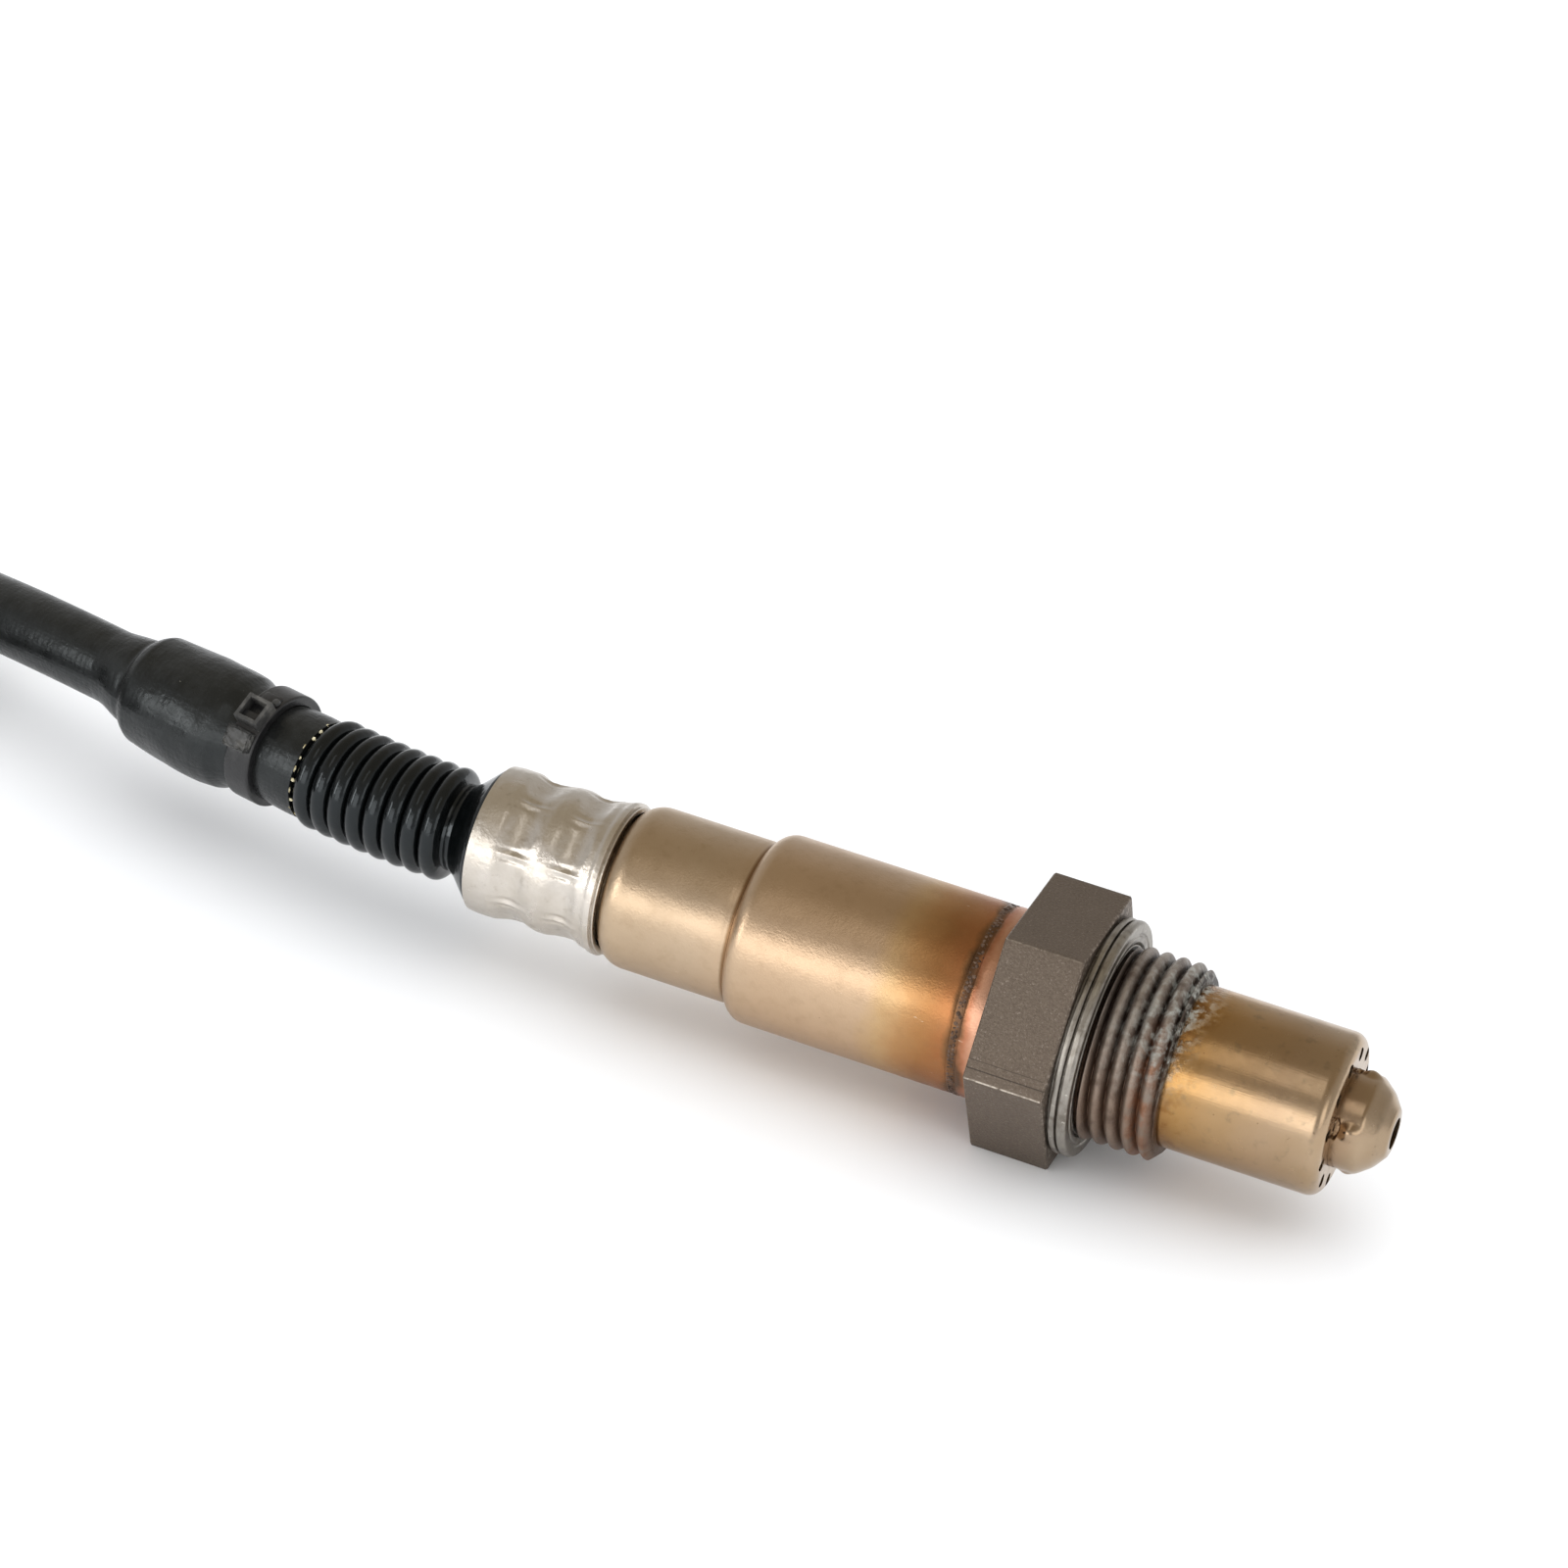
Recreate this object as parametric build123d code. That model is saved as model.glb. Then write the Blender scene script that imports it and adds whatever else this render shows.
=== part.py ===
from build123d import *
import math
import os

# Screw-in exhaust gas sensor with its lead, in millimetres.
# +X runs along the sensor towards its sensing tip, +Z is up. The origin is on the
# thread's axis, in the plane where the gasket seals. The sensor lies on one flat of
# its hexagon, and the lead and its plug lie on the same surface.

# Driving sizes: screw-in housing
HEX_FLATS = 22.0
HEX_LENGTH = 7.35
HEX_CHAMFER = 0.9
THREAD_DIAMETER = 18.0
THREAD_LENGTH = 7.2
THREAD_LEAD = 0.8
UNDERCUT_DEPTH = 1.0
CHAMBER_RADIUS = 5.3
CHAMBER_FRONT = 3.0
FRONT_BORE_RADIUS = 3.4
SPIGOT_LENGTH = 3.3
COLLAR_LENGTH = 5.25

# Driving sizes: gasket folded from sheet
GASKET_THICK = 1.9
GASKET_WIDTH = 1.55
GASKET_PLAY = 0.35
GASKET_SHEET = 0.4
GASKET_LIP = 0.35
GASKET_SLIT = 0.2
BEAD_SPACING = 0.76
BEAD_DEPTH = 0.2

# Driving sizes: double protection tube
TUBE_DIAMETER = 14.93
TUBE_WALL = 0.5
TUBE_REACH = 21.9
TUBE_END_ROUND = 1.3
VENT_COUNT = 12
VENT_DIAMETER = 1.25
VENT_TURN = 75.2
NOSE_DIAMETER = 8.9
NOSE_WALL = 0.4
NOSE_BODY_STEP = 1.15
NOSE_BODY_LENGTH = 6.0
NOSE_TAPER = 1.5
INLET_COUNT = 6
INLET_DIAMETER = 1.2
NOSE_SHOULDER = 24.6
NOSE_REACH = 26.5
NOSE_TIP_RADIUS = 2.05
NOSE_HOLE = 2.9
GILL_COUNT = 4
GILL_ANGLE = 22.0
GILL_DIAMETER = 1.9
GILL_STAND = 0.42
GILL_STATION = 1.7
GILL_MOUTH_LENGTH = 0.65
GILL_MOUTH_WIDTH = 1.4

# Driving sizes: sensing element and its packing
ELEMENT_WIDTH = 4.0
ELEMENT_THICK = 1.3
ELEMENT_FRONT = 20.0
ELEMENT_REAR = -36.0
LOWER_BUSH_LENGTH = 4.0
TALC_LENGTH = 4.0
UPPER_BUSH_LENGTH = 7.0
BUSH_TAIL_LENGTH = 4.0
BUSH_TAIL_RADIUS = 4.1
DISC_THICK = 0.45
DISC_RISE = 0.35

# Driving sizes: protective sleeve
SLEEVE_DIAMETER = 17.7
SLEEVE_STEP_DEPTH = 1.235
SLEEVE_NECK_DEPTH = 1.765
SLEEVE_NECK_FLARE = 0.75
SLEEVE_WALL = 0.6
SLEEVE_NECK_WALL = 0.5
SLEEVE_STEP = -32.4
SLEEVE_STEP_LENGTH = 1.8
SLEEVE_SHOULDER = -45.2
SLEEVE_SHOULDER_LENGTH = 1.7
SLEEVE_REAR = -59.0
WELD_STATION = -11.7
WELD_WIDTH = 1.1
WELD_DEPTH = 0.18

# Driving sizes: contact holder
HOLDER_GAP = 0.815
HOLDER_FRONT = -22.0
HOLDER_REAR = -39.0
HOLDER_CAVITY_HEIGHT = 5.4
HOLDER_CAVITY_WIDTH = 6.2
CLAMP_FRONT = -34.9
CLAMP_LENGTH = 3.2
CLAMP_SHEET = 0.35
CLAMP_SLIT = 2.0
CONTACT_WIDTH = 1.0
CONTACT_SHEET = 0.25
CONTACT_FRONT = -25.0
CONTACT_GATHER = 0.72
BARREL_WALL = 0.13
BARREL_LENGTH = 3.6
BARREL_CLOSED = 0.5

# Driving sizes: wires, cable seal and crimped cap
WIRE_RADIUS = 0.75
WIRE_GAP = 0.4
WIRE_ROW_GAP = 1.0
SEAL_FRONT = -47.3
SEAL_BEAD = 0.25
SEAL_BEAD_SPACING = 3.0
CAP_WALL = 0.4
CAP_LIP_RISE = 1.33
CAP_RIDGE_RISE = 1.03
CAP_VALLEY_RISE = 0.65
CAP_DENT_RISE = 0.43
CAP_LIP = -47.05
CAP_LENGTH = 13.7
CRIMP_STATIONS = (-50.7, -55.6)
CRIMP_JAWS = 8
CRIMP_ANGLE = 43.5
CRIMP_TOOL_RADIUS = 1.9

# Driving sizes: ribbed sleeve, bent gently where it leaves the cap
FLANGE_LENGTH = 1.3
CONE_ROOT_GAP = 0.53
CONE_NECK_WALL = 0.93
BEND_START = -62.9
BEND_RADIUS = 68.0
BEND_ANGLE = 13.0
RIB_COUNT = 8
RIB_PITCH = 1.84
RIB_FIRST = 1.65
RIB_HEIGHT = 0.97
RIB_ROUND = 0.74
BELLOWS_WALL = 1.18
BELLOWS_SLACK = 0.2

# Driving sizes: braided sleeve's mouth and its tie, measured back from the mouth
MOUTH_FROM_BEND = 16.25
BOOT_STEP = 0.35
BOOT_SWELL = 0.85
BOOT_WALL = 0.5
BOOT_WAIST = 0.12
BOOT_LENGTH = 21.5
BULGE_FRONT = 9.5
BULGE_REAR = 16.6
NECK_STATION = 20.2
TIE_STATION = 5.45
TIE_WIDTH = 2.9
TIE_THICK = 0.85
TIE_HEAD_ANGLE = 57.0
TIE_HEAD_SIZE = 2.8
TIE_HEAD_HEIGHT = 2.1
TIE_WINDOW = 1.9
TIE_TAIL_ANGLE = 29.0
TIE_TAIL_WIDTH = 3.7
TIE_TAIL_LENGTH = 1.9
TIE_TAIL_HEIGHT = 1.65
TIE_TAIL_SHIFT = 0.4

# Driving sizes: lead
LEAD_WALL = 0.35
LEAD_SLACK = 0.226
LEAD_STRAIGHT = 12.0
LEAD_MERGE_LENGTH = 10.0
COIL_RADIUS = 36.5
COIL_CENTRE = (-164.5, -7.6)
COIL_RISE_FROM = 15.0
COIL_TIE_ANGLE = 300.0
COIL_TIE_WIDTH = 3.6
COIL_TIE_THICK = 0.9
COIL_HEAD_WIDTH = 4.4
COIL_HEAD_HEIGHT = 2.6

# Driving sizes: plug
PLUG_REAR = -2.0
PLUG_AXIS_X = -197.5
PLUG_WIDTH = 24.0
PLUG_HEIGHT = 19.0
PLUG_LENGTH = 38.0
PLUG_WALL = 1.5
PLUG_CORNER = 2.5
SOCKET_DEPTH = 17.0
BULKHEAD = 12.0
HOOD_LENGTH = 9.0
HOOD_WALL = 1.4
HOOD_FOOT = 3.0
HOOD_NECK = 12.0
TERMINAL_PITCH = 6.0
TERMINAL_ROWS = 6.0
TAB_WIDTH = 2.8
TAB_THICK = 0.8
TAB_REACH = 12.0
LOCK_THICK = 2.4
LATCH_WIDTH = 7.0
LATCH_HEIGHT = 2.2
LATCH_LENGTH = 9.0
RAIL_WIDTH = 1.4
RAIL_FRONT = 3.0
RAIL_REAR = 12.0
KEY_WIDTH = 1.2
KEY_HEIGHT = 2.0

# Clearance between pieces that fit into each other
FIT = 0.05

# Worked out from the sizes above
FLOOR = -HEX_FLATS / 2
THREAD_RADIUS = THREAD_DIAMETER / 2
UNDERCUT_RADIUS = THREAD_RADIUS - UNDERCUT_DEPTH
GASKET_BORE_RADIUS = THREAD_RADIUS + GASKET_PLAY
GASKET_RADIUS = GASKET_BORE_RADIUS + GASKET_WIDTH
HEX_FRONT = -GASKET_THICK
HEX_REAR = HEX_FRONT - HEX_LENGTH
COLLAR_REAR = HEX_REAR - COLLAR_LENGTH
SLEEVE_RADIUS = SLEEVE_DIAMETER / 2
SLEEVE_MID_RADIUS = SLEEVE_RADIUS - SLEEVE_STEP_DEPTH
SLEEVE_NECK_RADIUS = SLEEVE_MID_RADIUS - SLEEVE_NECK_DEPTH
TUBE_RADIUS = TUBE_DIAMETER / 2
NOSE_RADIUS = NOSE_DIAMETER / 2
VENT_CIRCLE_RADIUS = (NOSE_RADIUS + TUBE_RADIUS) / 2
SPIGOT_RADIUS = TUBE_RADIUS - TUBE_WALL - FIT
SPIGOT_FRONT = THREAD_LENGTH + SPIGOT_LENGTH
PACK_RADIUS = CHAMBER_RADIUS - FIT
TALC_FRONT = CHAMBER_FRONT - LOWER_BUSH_LENGTH
BUSH_FRONT = TALC_FRONT - TALC_LENGTH
BUSH_SHOULDER = BUSH_FRONT - UPPER_BUSH_LENGTH
BUSH_REAR = BUSH_SHOULDER - BUSH_TAIL_LENGTH
DISC_REAR = BUSH_SHOULDER - DISC_THICK - DISC_RISE
CAP_REAR = CAP_LIP - CAP_LENGTH
CAP_LIP_RADIUS = SLEEVE_NECK_RADIUS + CAP_LIP_RISE
CAP_RIDGE_RADIUS = SLEEVE_NECK_RADIUS + CAP_RIDGE_RISE
CAP_VALLEY_RADIUS = SLEEVE_NECK_RADIUS + CAP_VALLEY_RISE
CAP_DENT_RADIUS = SLEEVE_NECK_RADIUS + CAP_DENT_RISE
CAP_BORE = CAP_RIDGE_RADIUS - CAP_WALL
HOLDER_RADIUS = SLEEVE_MID_RADIUS - SLEEVE_WALL - HOLDER_GAP
WIRE_PITCH = 2 * WIRE_RADIUS + WIRE_GAP
WIRE_ROW_HEIGHT = WIRE_RADIUS + WIRE_ROW_GAP / 2
BARREL_RADIUS = WIRE_RADIUS + BARREL_WALL
BUNDLE_RADIUS = math.hypot(WIRE_PITCH, WIRE_ROW_HEIGHT) + WIRE_RADIUS
BELLOWS_BORE = BUNDLE_RADIUS + BELLOWS_SLACK
BELLOWS_CORE = BELLOWS_BORE + BELLOWS_WALL
CONE_ROOT_RADIUS = CAP_BORE - CONE_ROOT_GAP
CONE_NECK_RADIUS = BELLOWS_BORE + CONE_NECK_WALL
RIB_RADIUS = BELLOWS_CORE + RIB_HEIGHT
BOOT_RADIUS = BELLOWS_CORE + BOOT_STEP
BOOT_BULGE = BOOT_RADIUS + BOOT_SWELL
LEAD_BORE = BUNDLE_RADIUS + LEAD_SLACK
LEAD_RADIUS = LEAD_BORE + LEAD_WALL
SEAL_RADIUS = SLEEVE_NECK_RADIUS - SLEEVE_NECK_WALL - FIT
BEND_LENGTH = math.radians(BEND_ANGLE) * BEND_RADIUS
LEAD_HEIGHT = FLOOR + LEAD_RADIUS
PLUG_AXIS_Z = FLOOR + 2 * LEAD_RADIUS + FIT + PLUG_HEIGHT / 2
COIL_TOP = LEAD_HEIGHT + 2 * LEAD_RADIUS + 2 * FIT
SEAL_POCKET = PLUG_LENGTH - SOCKET_DEPTH - BULKHEAD
SOCKET_FLOOR = PLUG_LENGTH - SOCKET_DEPTH
SHROUD_HEIGHT = PLUG_HEIGHT - LATCH_HEIGHT
SHROUD_DROP = -LATCH_HEIGHT / 2
SOCKET_WIDTH = PLUG_WIDTH - 2 * PLUG_WALL
SOCKET_HEIGHT = SHROUD_HEIGHT - 2 * PLUG_WALL
SOCKET_CORNER = PLUG_CORNER - PLUG_WALL


def turned(outline, rounds=()):
    """Turn an outline of (station, radius) points about X; rounds holds (point, radius)."""
    face = make_face(Polyline(*outline, close=True))
    for point, radius in rounds:
        corner = face.vertices().sort_by_distance((*point, 0))[0]
        face = fillet(corner, radius)
    return revolve(face, Axis.X)


def ring(rear, front, outer, inner):
    """Plain ring about X between two stations."""
    return turned([(rear, inner), (front, inner), (front, outer), (rear, outer)])


def rod(rear, front, radius):
    """Plain round bar about X between two stations."""
    return Pos((rear + front) / 2, 0, 0) * Rot(0, 90, 0) * Cylinder(radius, front - rear)


def slab(x_range, y_range, z_range):
    """Box between pairs of lowest and highest values."""
    ranges = (x_range, y_range, z_range)
    middle = [(low + high) / 2 for low, high in ranges]
    return Pos(*middle) * Box(*[high - low for low, high in ranges])


def around(count, first=0.0):
    """Turns about X, evenly spaced; 0 points to -Y and 90 to +Z."""
    return [Rot(first + 360 / count * step, 0, 0) for step in range(count)]


def toward(angle):
    """Turn about X that brings +Z to the given angle, where 0 points to -Y and 90 to +Z."""
    return Rot(90 - angle, 0, 0)


def on_bend(distance):
    """Frame on the bent axis, this far behind its start, with its own X still forward."""
    turn = math.radians(BEND_ANGLE) * min(max(distance, 0) / BEND_LENGTH, 1)
    straight = max(distance - BEND_LENGTH, 0)
    ahead = max(-distance, 0)
    x = BEND_START + ahead - BEND_RADIUS * math.sin(turn) - straight * math.cos(turn)
    y = BEND_RADIUS * (1 - math.cos(turn)) + straight * math.sin(turn)
    return Location((x, y, 0), (0, 0, -math.degrees(turn)))


def on_boot(distance):
    """Frame on the bent axis, this far behind the braided sleeve's mouth."""
    return on_bend(MOUTH_FROM_BEND + distance)


def bent_path(front, boot_distance, y=0.0, z=0.0):
    """Path from a station in the cap to a place in the boot, offset across the axis."""
    straight = Line((front, y, z), (BEND_START, y, z))
    bend = JernArc(straight @ 1, (-1, 0, 0), BEND_RADIUS - y, -BEND_ANGLE)
    rear = MOUTH_FROM_BEND + boot_distance - BEND_LENGTH
    return straight + bend + Line(bend @ 1, (bend @ 1) + (bend % 1) * rear)


def outer_edges(part):
    """The round edges of largest radius."""
    return part.edges().filter_by(GeomType.CIRCLE).group_by(SortBy.RADIUS)[-1]


def round_bar(path, radius):
    """Round bar swept along a path."""
    start = Plane(origin=path @ 0, z_dir=path % 0)
    return sweep(start * Circle(radius), path=path)


# Screw-in housing ------------------------------------------------------------------------


def housing():
    """Thread, sealing shoulder, hexagon and collar in one, with the packing's chamber inside."""
    collar = SLEEVE_RADIUS - SLEEVE_WALL - FIT
    body = turned(
        [
            (COLLAR_REAR, CHAMBER_RADIUS),
            (CHAMBER_FRONT, CHAMBER_RADIUS),
            (CHAMBER_FRONT, FRONT_BORE_RADIUS),
            (SPIGOT_FRONT, FRONT_BORE_RADIUS),
            (SPIGOT_FRONT, SPIGOT_RADIUS),
            (THREAD_LENGTH, SPIGOT_RADIUS),
            (THREAD_LENGTH, THREAD_RADIUS - THREAD_LEAD),
            (THREAD_LENGTH - THREAD_LEAD, THREAD_RADIUS),
            (0, THREAD_RADIUS),
            (0, UNDERCUT_RADIUS),
            (HEX_FRONT, UNDERCUT_RADIUS),
            (HEX_FRONT, collar),
            (COLLAR_REAR, collar),
        ],
        [((COLLAR_REAR, collar), 0.4)],
    )
    blank = extrude(Plane.YZ * RegularPolygon(HEX_FLATS / 2, 6, major_radius=False), HEX_LENGTH)
    blank = Pos(HEX_REAR, 0, 0) * blank
    corner = HEX_FLATS / 2 / math.cos(math.pi / 6)
    turned_blank = turned(
        [
            (HEX_REAR, 0),
            (HEX_FRONT, 0),
            (HEX_FRONT, corner - HEX_CHAMFER),
            (HEX_FRONT - HEX_CHAMFER * 0.5, corner),
            (HEX_REAR + HEX_CHAMFER * 0.5, corner),
            (HEX_REAR, corner - HEX_CHAMFER),
        ]
    )
    hexagon = (blank & turned_blank) - rod(HEX_REAR - 1, HEX_FRONT + 1, CHAMBER_RADIUS)
    return body + hexagon


def gasket():
    """Ring folded from sheet: two beads outside, a fold that opens inwards and a thin lip."""
    outer, inner = GASKET_RADIUS, GASKET_BORE_RADIUS
    lip = UNDERCUT_RADIUS + GASKET_LIP
    slit_rear = (-GASKET_THICK - GASKET_SLIT) / 2
    slit_front = slit_rear + GASKET_SLIT
    body = turned(
        [
            (-GASKET_THICK, lip),
            (-GASKET_THICK + GASKET_SHEET, lip),
            (-GASKET_THICK + GASKET_SHEET, inner),
            (slit_rear, inner),
            (slit_rear, outer - GASKET_SHEET),
            (slit_front, outer - GASKET_SHEET),
            (slit_front, inner),
            (0, inner),
            (0, outer),
            (-GASKET_THICK, outer),
        ],
        [((0, outer), 0.35), ((-GASKET_THICK, outer), 0.3), ((0, inner), 0.2)],
    )
    for side in (-0.5, 0.5):
        station = -GASKET_THICK / 2 + side * BEAD_SPACING
        edges = [(station - 0.12, outer), (station + 0.12, outer)]
        body -= turned([*edges, (station, outer - BEAD_DEPTH)])
    return body


# Double protection tube ------------------------------------------------------------------


def outer_protection_tube():
    """Cup over the housing's spigot, its end pierced by the nose and a ring of vents."""
    bore = TUBE_RADIUS - TUBE_WALL
    throat = NOSE_RADIUS + FIT
    cup = turned(
        [
            (THREAD_LENGTH, bore),
            (TUBE_REACH - TUBE_WALL, bore),
            (TUBE_REACH - TUBE_WALL, throat),
            (TUBE_REACH, throat),
            (TUBE_REACH, TUBE_RADIUS),
            (THREAD_LENGTH, TUBE_RADIUS),
        ],
        [
            ((TUBE_REACH, TUBE_RADIUS), TUBE_END_ROUND),
            ((TUBE_REACH - TUBE_WALL, bore), TUBE_END_ROUND - TUBE_WALL),
        ],
    )
    vent = rod(TUBE_REACH - 3 * TUBE_WALL, TUBE_REACH + 1, VENT_DIAMETER / 2)
    vent = Pos(0, 0, VENT_CIRCLE_RADIUS) * vent
    return cup - [turn * vent for turn in around(VENT_COUNT, VENT_TURN)]


def gill_blister():
    """Half-round blister that covers one gill."""
    sunk = NOSE_RADIUS + GILL_STAND - GILL_DIAMETER / 2
    return Pos(TUBE_REACH + GILL_STATION, 0, sunk) * Sphere(GILL_DIAMETER / 2)


def inner_protection_tube():
    """Flanged thimble with a conical nose, a tip hole and a ring of blistered gills."""
    wide = NOSE_RADIUS + NOSE_BODY_STEP
    taper_rear = SPIGOT_FRONT + NOSE_BODY_LENGTH
    taper_front = taper_rear + NOSE_TAPER
    inner_shift = NOSE_WALL / 4
    shell = turned(
        [
            (SPIGOT_FRONT, wide - NOSE_WALL),
            (SPIGOT_FRONT, SPIGOT_RADIUS),
            (SPIGOT_FRONT + NOSE_WALL, SPIGOT_RADIUS),
            (SPIGOT_FRONT + NOSE_WALL, wide),
            (taper_rear, wide),
            (taper_front, NOSE_RADIUS),
            (NOSE_SHOULDER, NOSE_RADIUS),
            (NOSE_REACH, NOSE_TIP_RADIUS),
            (NOSE_REACH, NOSE_HOLE / 2),
            (NOSE_REACH - NOSE_WALL, NOSE_HOLE / 2),
            (NOSE_SHOULDER - NOSE_WALL / 2, NOSE_RADIUS - NOSE_WALL),
            (taper_front - inner_shift, NOSE_RADIUS - NOSE_WALL),
            (taper_rear - inner_shift, wide - NOSE_WALL),
        ],
        [((NOSE_SHOULDER, NOSE_RADIUS), 1.1), ((NOSE_REACH, NOSE_TIP_RADIUS), 0.25)],
    )
    bore = rod(taper_front, NOSE_SHOULDER - NOSE_WALL, NOSE_RADIUS - NOSE_WALL)
    gill_turns = around(GILL_COUNT, 90 - GILL_ANGLE)
    shell += [turn * (gill_blister() - bore) for turn in gill_turns]
    mouth_station = TUBE_REACH + GILL_STATION - GILL_DIAMETER / 2
    mouth = Pos(mouth_station, 0, NOSE_RADIUS) * Box(GILL_MOUTH_LENGTH, GILL_MOUTH_WIDTH, 4 * NOSE_WALL)
    shell -= [turn * mouth for turn in gill_turns]
    inlet = Pos(SPIGOT_FRONT + NOSE_BODY_LENGTH / 2, 0, wide) * Cylinder(INLET_DIAMETER / 2, 3)
    return shell - [turn * inlet for turn in around(INLET_COUNT)]


# Sensing element and its packing ---------------------------------------------------------


def sensor_element():
    strip = slab(
        (ELEMENT_REAR, ELEMENT_FRONT),
        (-ELEMENT_WIDTH / 2, ELEMENT_WIDTH / 2),
        (-ELEMENT_THICK / 2, ELEMENT_THICK / 2),
    )
    return chamfer(strip.edges().filter_by(Axis.X), 0.2)


def element_slot(rear, front, clearance=FIT):
    """Straight slot that the element passes through."""
    return slab(
        (rear - 1, front + 1),
        (-ELEMENT_WIDTH / 2 - clearance, ELEMENT_WIDTH / 2 + clearance),
        (-ELEMENT_THICK / 2 - clearance, ELEMENT_THICK / 2 + clearance),
    )


def lower_ceramic_bush():
    edge = (TALC_FRONT, PACK_RADIUS)
    bush = turned(
        [(TALC_FRONT, 0), (CHAMBER_FRONT, 0), (CHAMBER_FRONT, PACK_RADIUS), edge],
        [((CHAMBER_FRONT, PACK_RADIUS), 0.3)],
    )
    return bush - element_slot(TALC_FRONT, CHAMBER_FRONT)


def talc_packing():
    return rod(BUSH_FRONT, TALC_FRONT, PACK_RADIUS) - element_slot(BUSH_FRONT, TALC_FRONT)


def upper_ceramic_bush():
    """Bush whose narrower tail carries the disc spring."""
    bush = turned(
        [
            (BUSH_REAR, 0),
            (BUSH_FRONT, 0),
            (BUSH_FRONT, PACK_RADIUS),
            (BUSH_SHOULDER, PACK_RADIUS),
            (BUSH_SHOULDER, BUSH_TAIL_RADIUS),
            (BUSH_REAR, BUSH_TAIL_RADIUS),
        ],
        [((BUSH_REAR, BUSH_TAIL_RADIUS), 0.4)],
    )
    return bush - element_slot(BUSH_REAR, BUSH_FRONT)


def disc_spring():
    """Conical washer that keeps the packing pressed."""
    inner = BUSH_TAIL_RADIUS + 2 * FIT
    return turned(
        [
            (BUSH_SHOULDER, inner),
            (BUSH_SHOULDER - DISC_RISE, PACK_RADIUS),
            (DISC_REAR, PACK_RADIUS),
            (BUSH_SHOULDER - DISC_THICK, inner),
        ]
    )


def press_ring():
    """Ring pressed into the housing's rear, which holds the disc spring down."""
    inner = BUSH_TAIL_RADIUS + 0.4
    return ring(COLLAR_REAR, DISC_REAR, PACK_RADIUS, inner)


# Protective sleeve -----------------------------------------------------------------------


def protective_sleeve():
    """Stepped sleeve, welded round its front end, with a neck that the cap closes over."""
    front = HEX_REAR - 2 * FIT
    large, mid, neck = SLEEVE_RADIUS, SLEEVE_MID_RADIUS, SLEEVE_NECK_RADIUS
    wall, neck_wall = SLEEVE_WALL, SLEEVE_NECK_WALL
    step_rear = SLEEVE_STEP - SLEEVE_STEP_LENGTH
    neck_front = SLEEVE_SHOULDER - SLEEVE_SHOULDER_LENGTH
    body = turned(
        [
            (front, large),
            (SLEEVE_STEP, large),
            (step_rear, mid),
            (SLEEVE_SHOULDER, mid),
            (neck_front, neck + SLEEVE_NECK_FLARE),
            (neck_front, neck),
            (SLEEVE_REAR, neck),
            (SLEEVE_REAR, neck - neck_wall),
            (neck_front + wall, neck - neck_wall),
            (SLEEVE_SHOULDER + wall / 3, mid - wall),
            (step_rear + wall / 3, mid - wall),
            (SLEEVE_STEP + wall / 3, large - wall),
            (front, large - wall),
        ],
        [
            ((SLEEVE_STEP, large), 1.0),
            ((step_rear, mid), 0.6),
            ((SLEEVE_SHOULDER, mid), 1.5),
            ((front, large), 0.2),
        ],
    )
    half = WELD_WIDTH / 2
    weld = turned(
        [
            (WELD_STATION - half, large + 1),
            (WELD_STATION - half, large),
            (WELD_STATION - half / 2, large - WELD_DEPTH),
            (WELD_STATION + half / 2, large - WELD_DEPTH),
            (WELD_STATION + half, large),
            (WELD_STATION + half, large + 1),
        ]
    )
    return body - weld


# Contact holder --------------------------------------------------------------------------


def contact_holder():
    """Ceramic holder before it is split: a bar with one wide cavity for the contacts."""
    bar = turned(
        [(HOLDER_REAR, 0), (HOLDER_FRONT, 0), (HOLDER_FRONT, HOLDER_RADIUS), (HOLDER_REAR, HOLDER_RADIUS)],
        [((HOLDER_FRONT, HOLDER_RADIUS), 0.5), ((HOLDER_REAR, HOLDER_RADIUS), 0.5)],
    )
    cavity = slab(
        (HOLDER_REAR - 1, CONTACT_FRONT + 1),
        (-HOLDER_CAVITY_WIDTH / 2, HOLDER_CAVITY_WIDTH / 2),
        (-HOLDER_CAVITY_HEIGHT / 2, HOLDER_CAVITY_HEIGHT / 2),
    )
    return bar - cavity - element_slot(HOLDER_REAR, HOLDER_FRONT, 2 * FIT)


def holder_half(side):
    """Upper or lower half of the holder, parted on the element's plane."""
    reach = 2 * HOLDER_RADIUS
    heights = (FIT / 2, reach) if side > 0 else (-reach, -FIT / 2)
    return contact_holder() & slab((HOLDER_REAR - 1, HOLDER_FRONT + 1), (-reach, reach), heights)


def holder_clamp():
    """Slit spring clamp round the halves, with flanges that centre it in the sleeve."""
    inner = HOLDER_RADIUS + FIT
    flange = SLEEVE_MID_RADIUS - SLEEVE_WALL - FIT
    rear = CLAMP_FRONT - CLAMP_LENGTH
    band = turned(
        [
            (rear, inner),
            (CLAMP_FRONT, inner),
            (CLAMP_FRONT, flange),
            (CLAMP_FRONT - CLAMP_SHEET, flange),
            (CLAMP_FRONT - CLAMP_SHEET, inner + CLAMP_SHEET),
            (rear + CLAMP_SHEET, inner + CLAMP_SHEET),
            (rear + CLAMP_SHEET, flange),
            (rear, flange),
        ]
    )
    slit = slab((rear - 1, CLAMP_FRONT + 1), (0, 2 * flange), (-CLAMP_SLIT / 2, CLAMP_SLIT / 2))
    return band - slit


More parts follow.
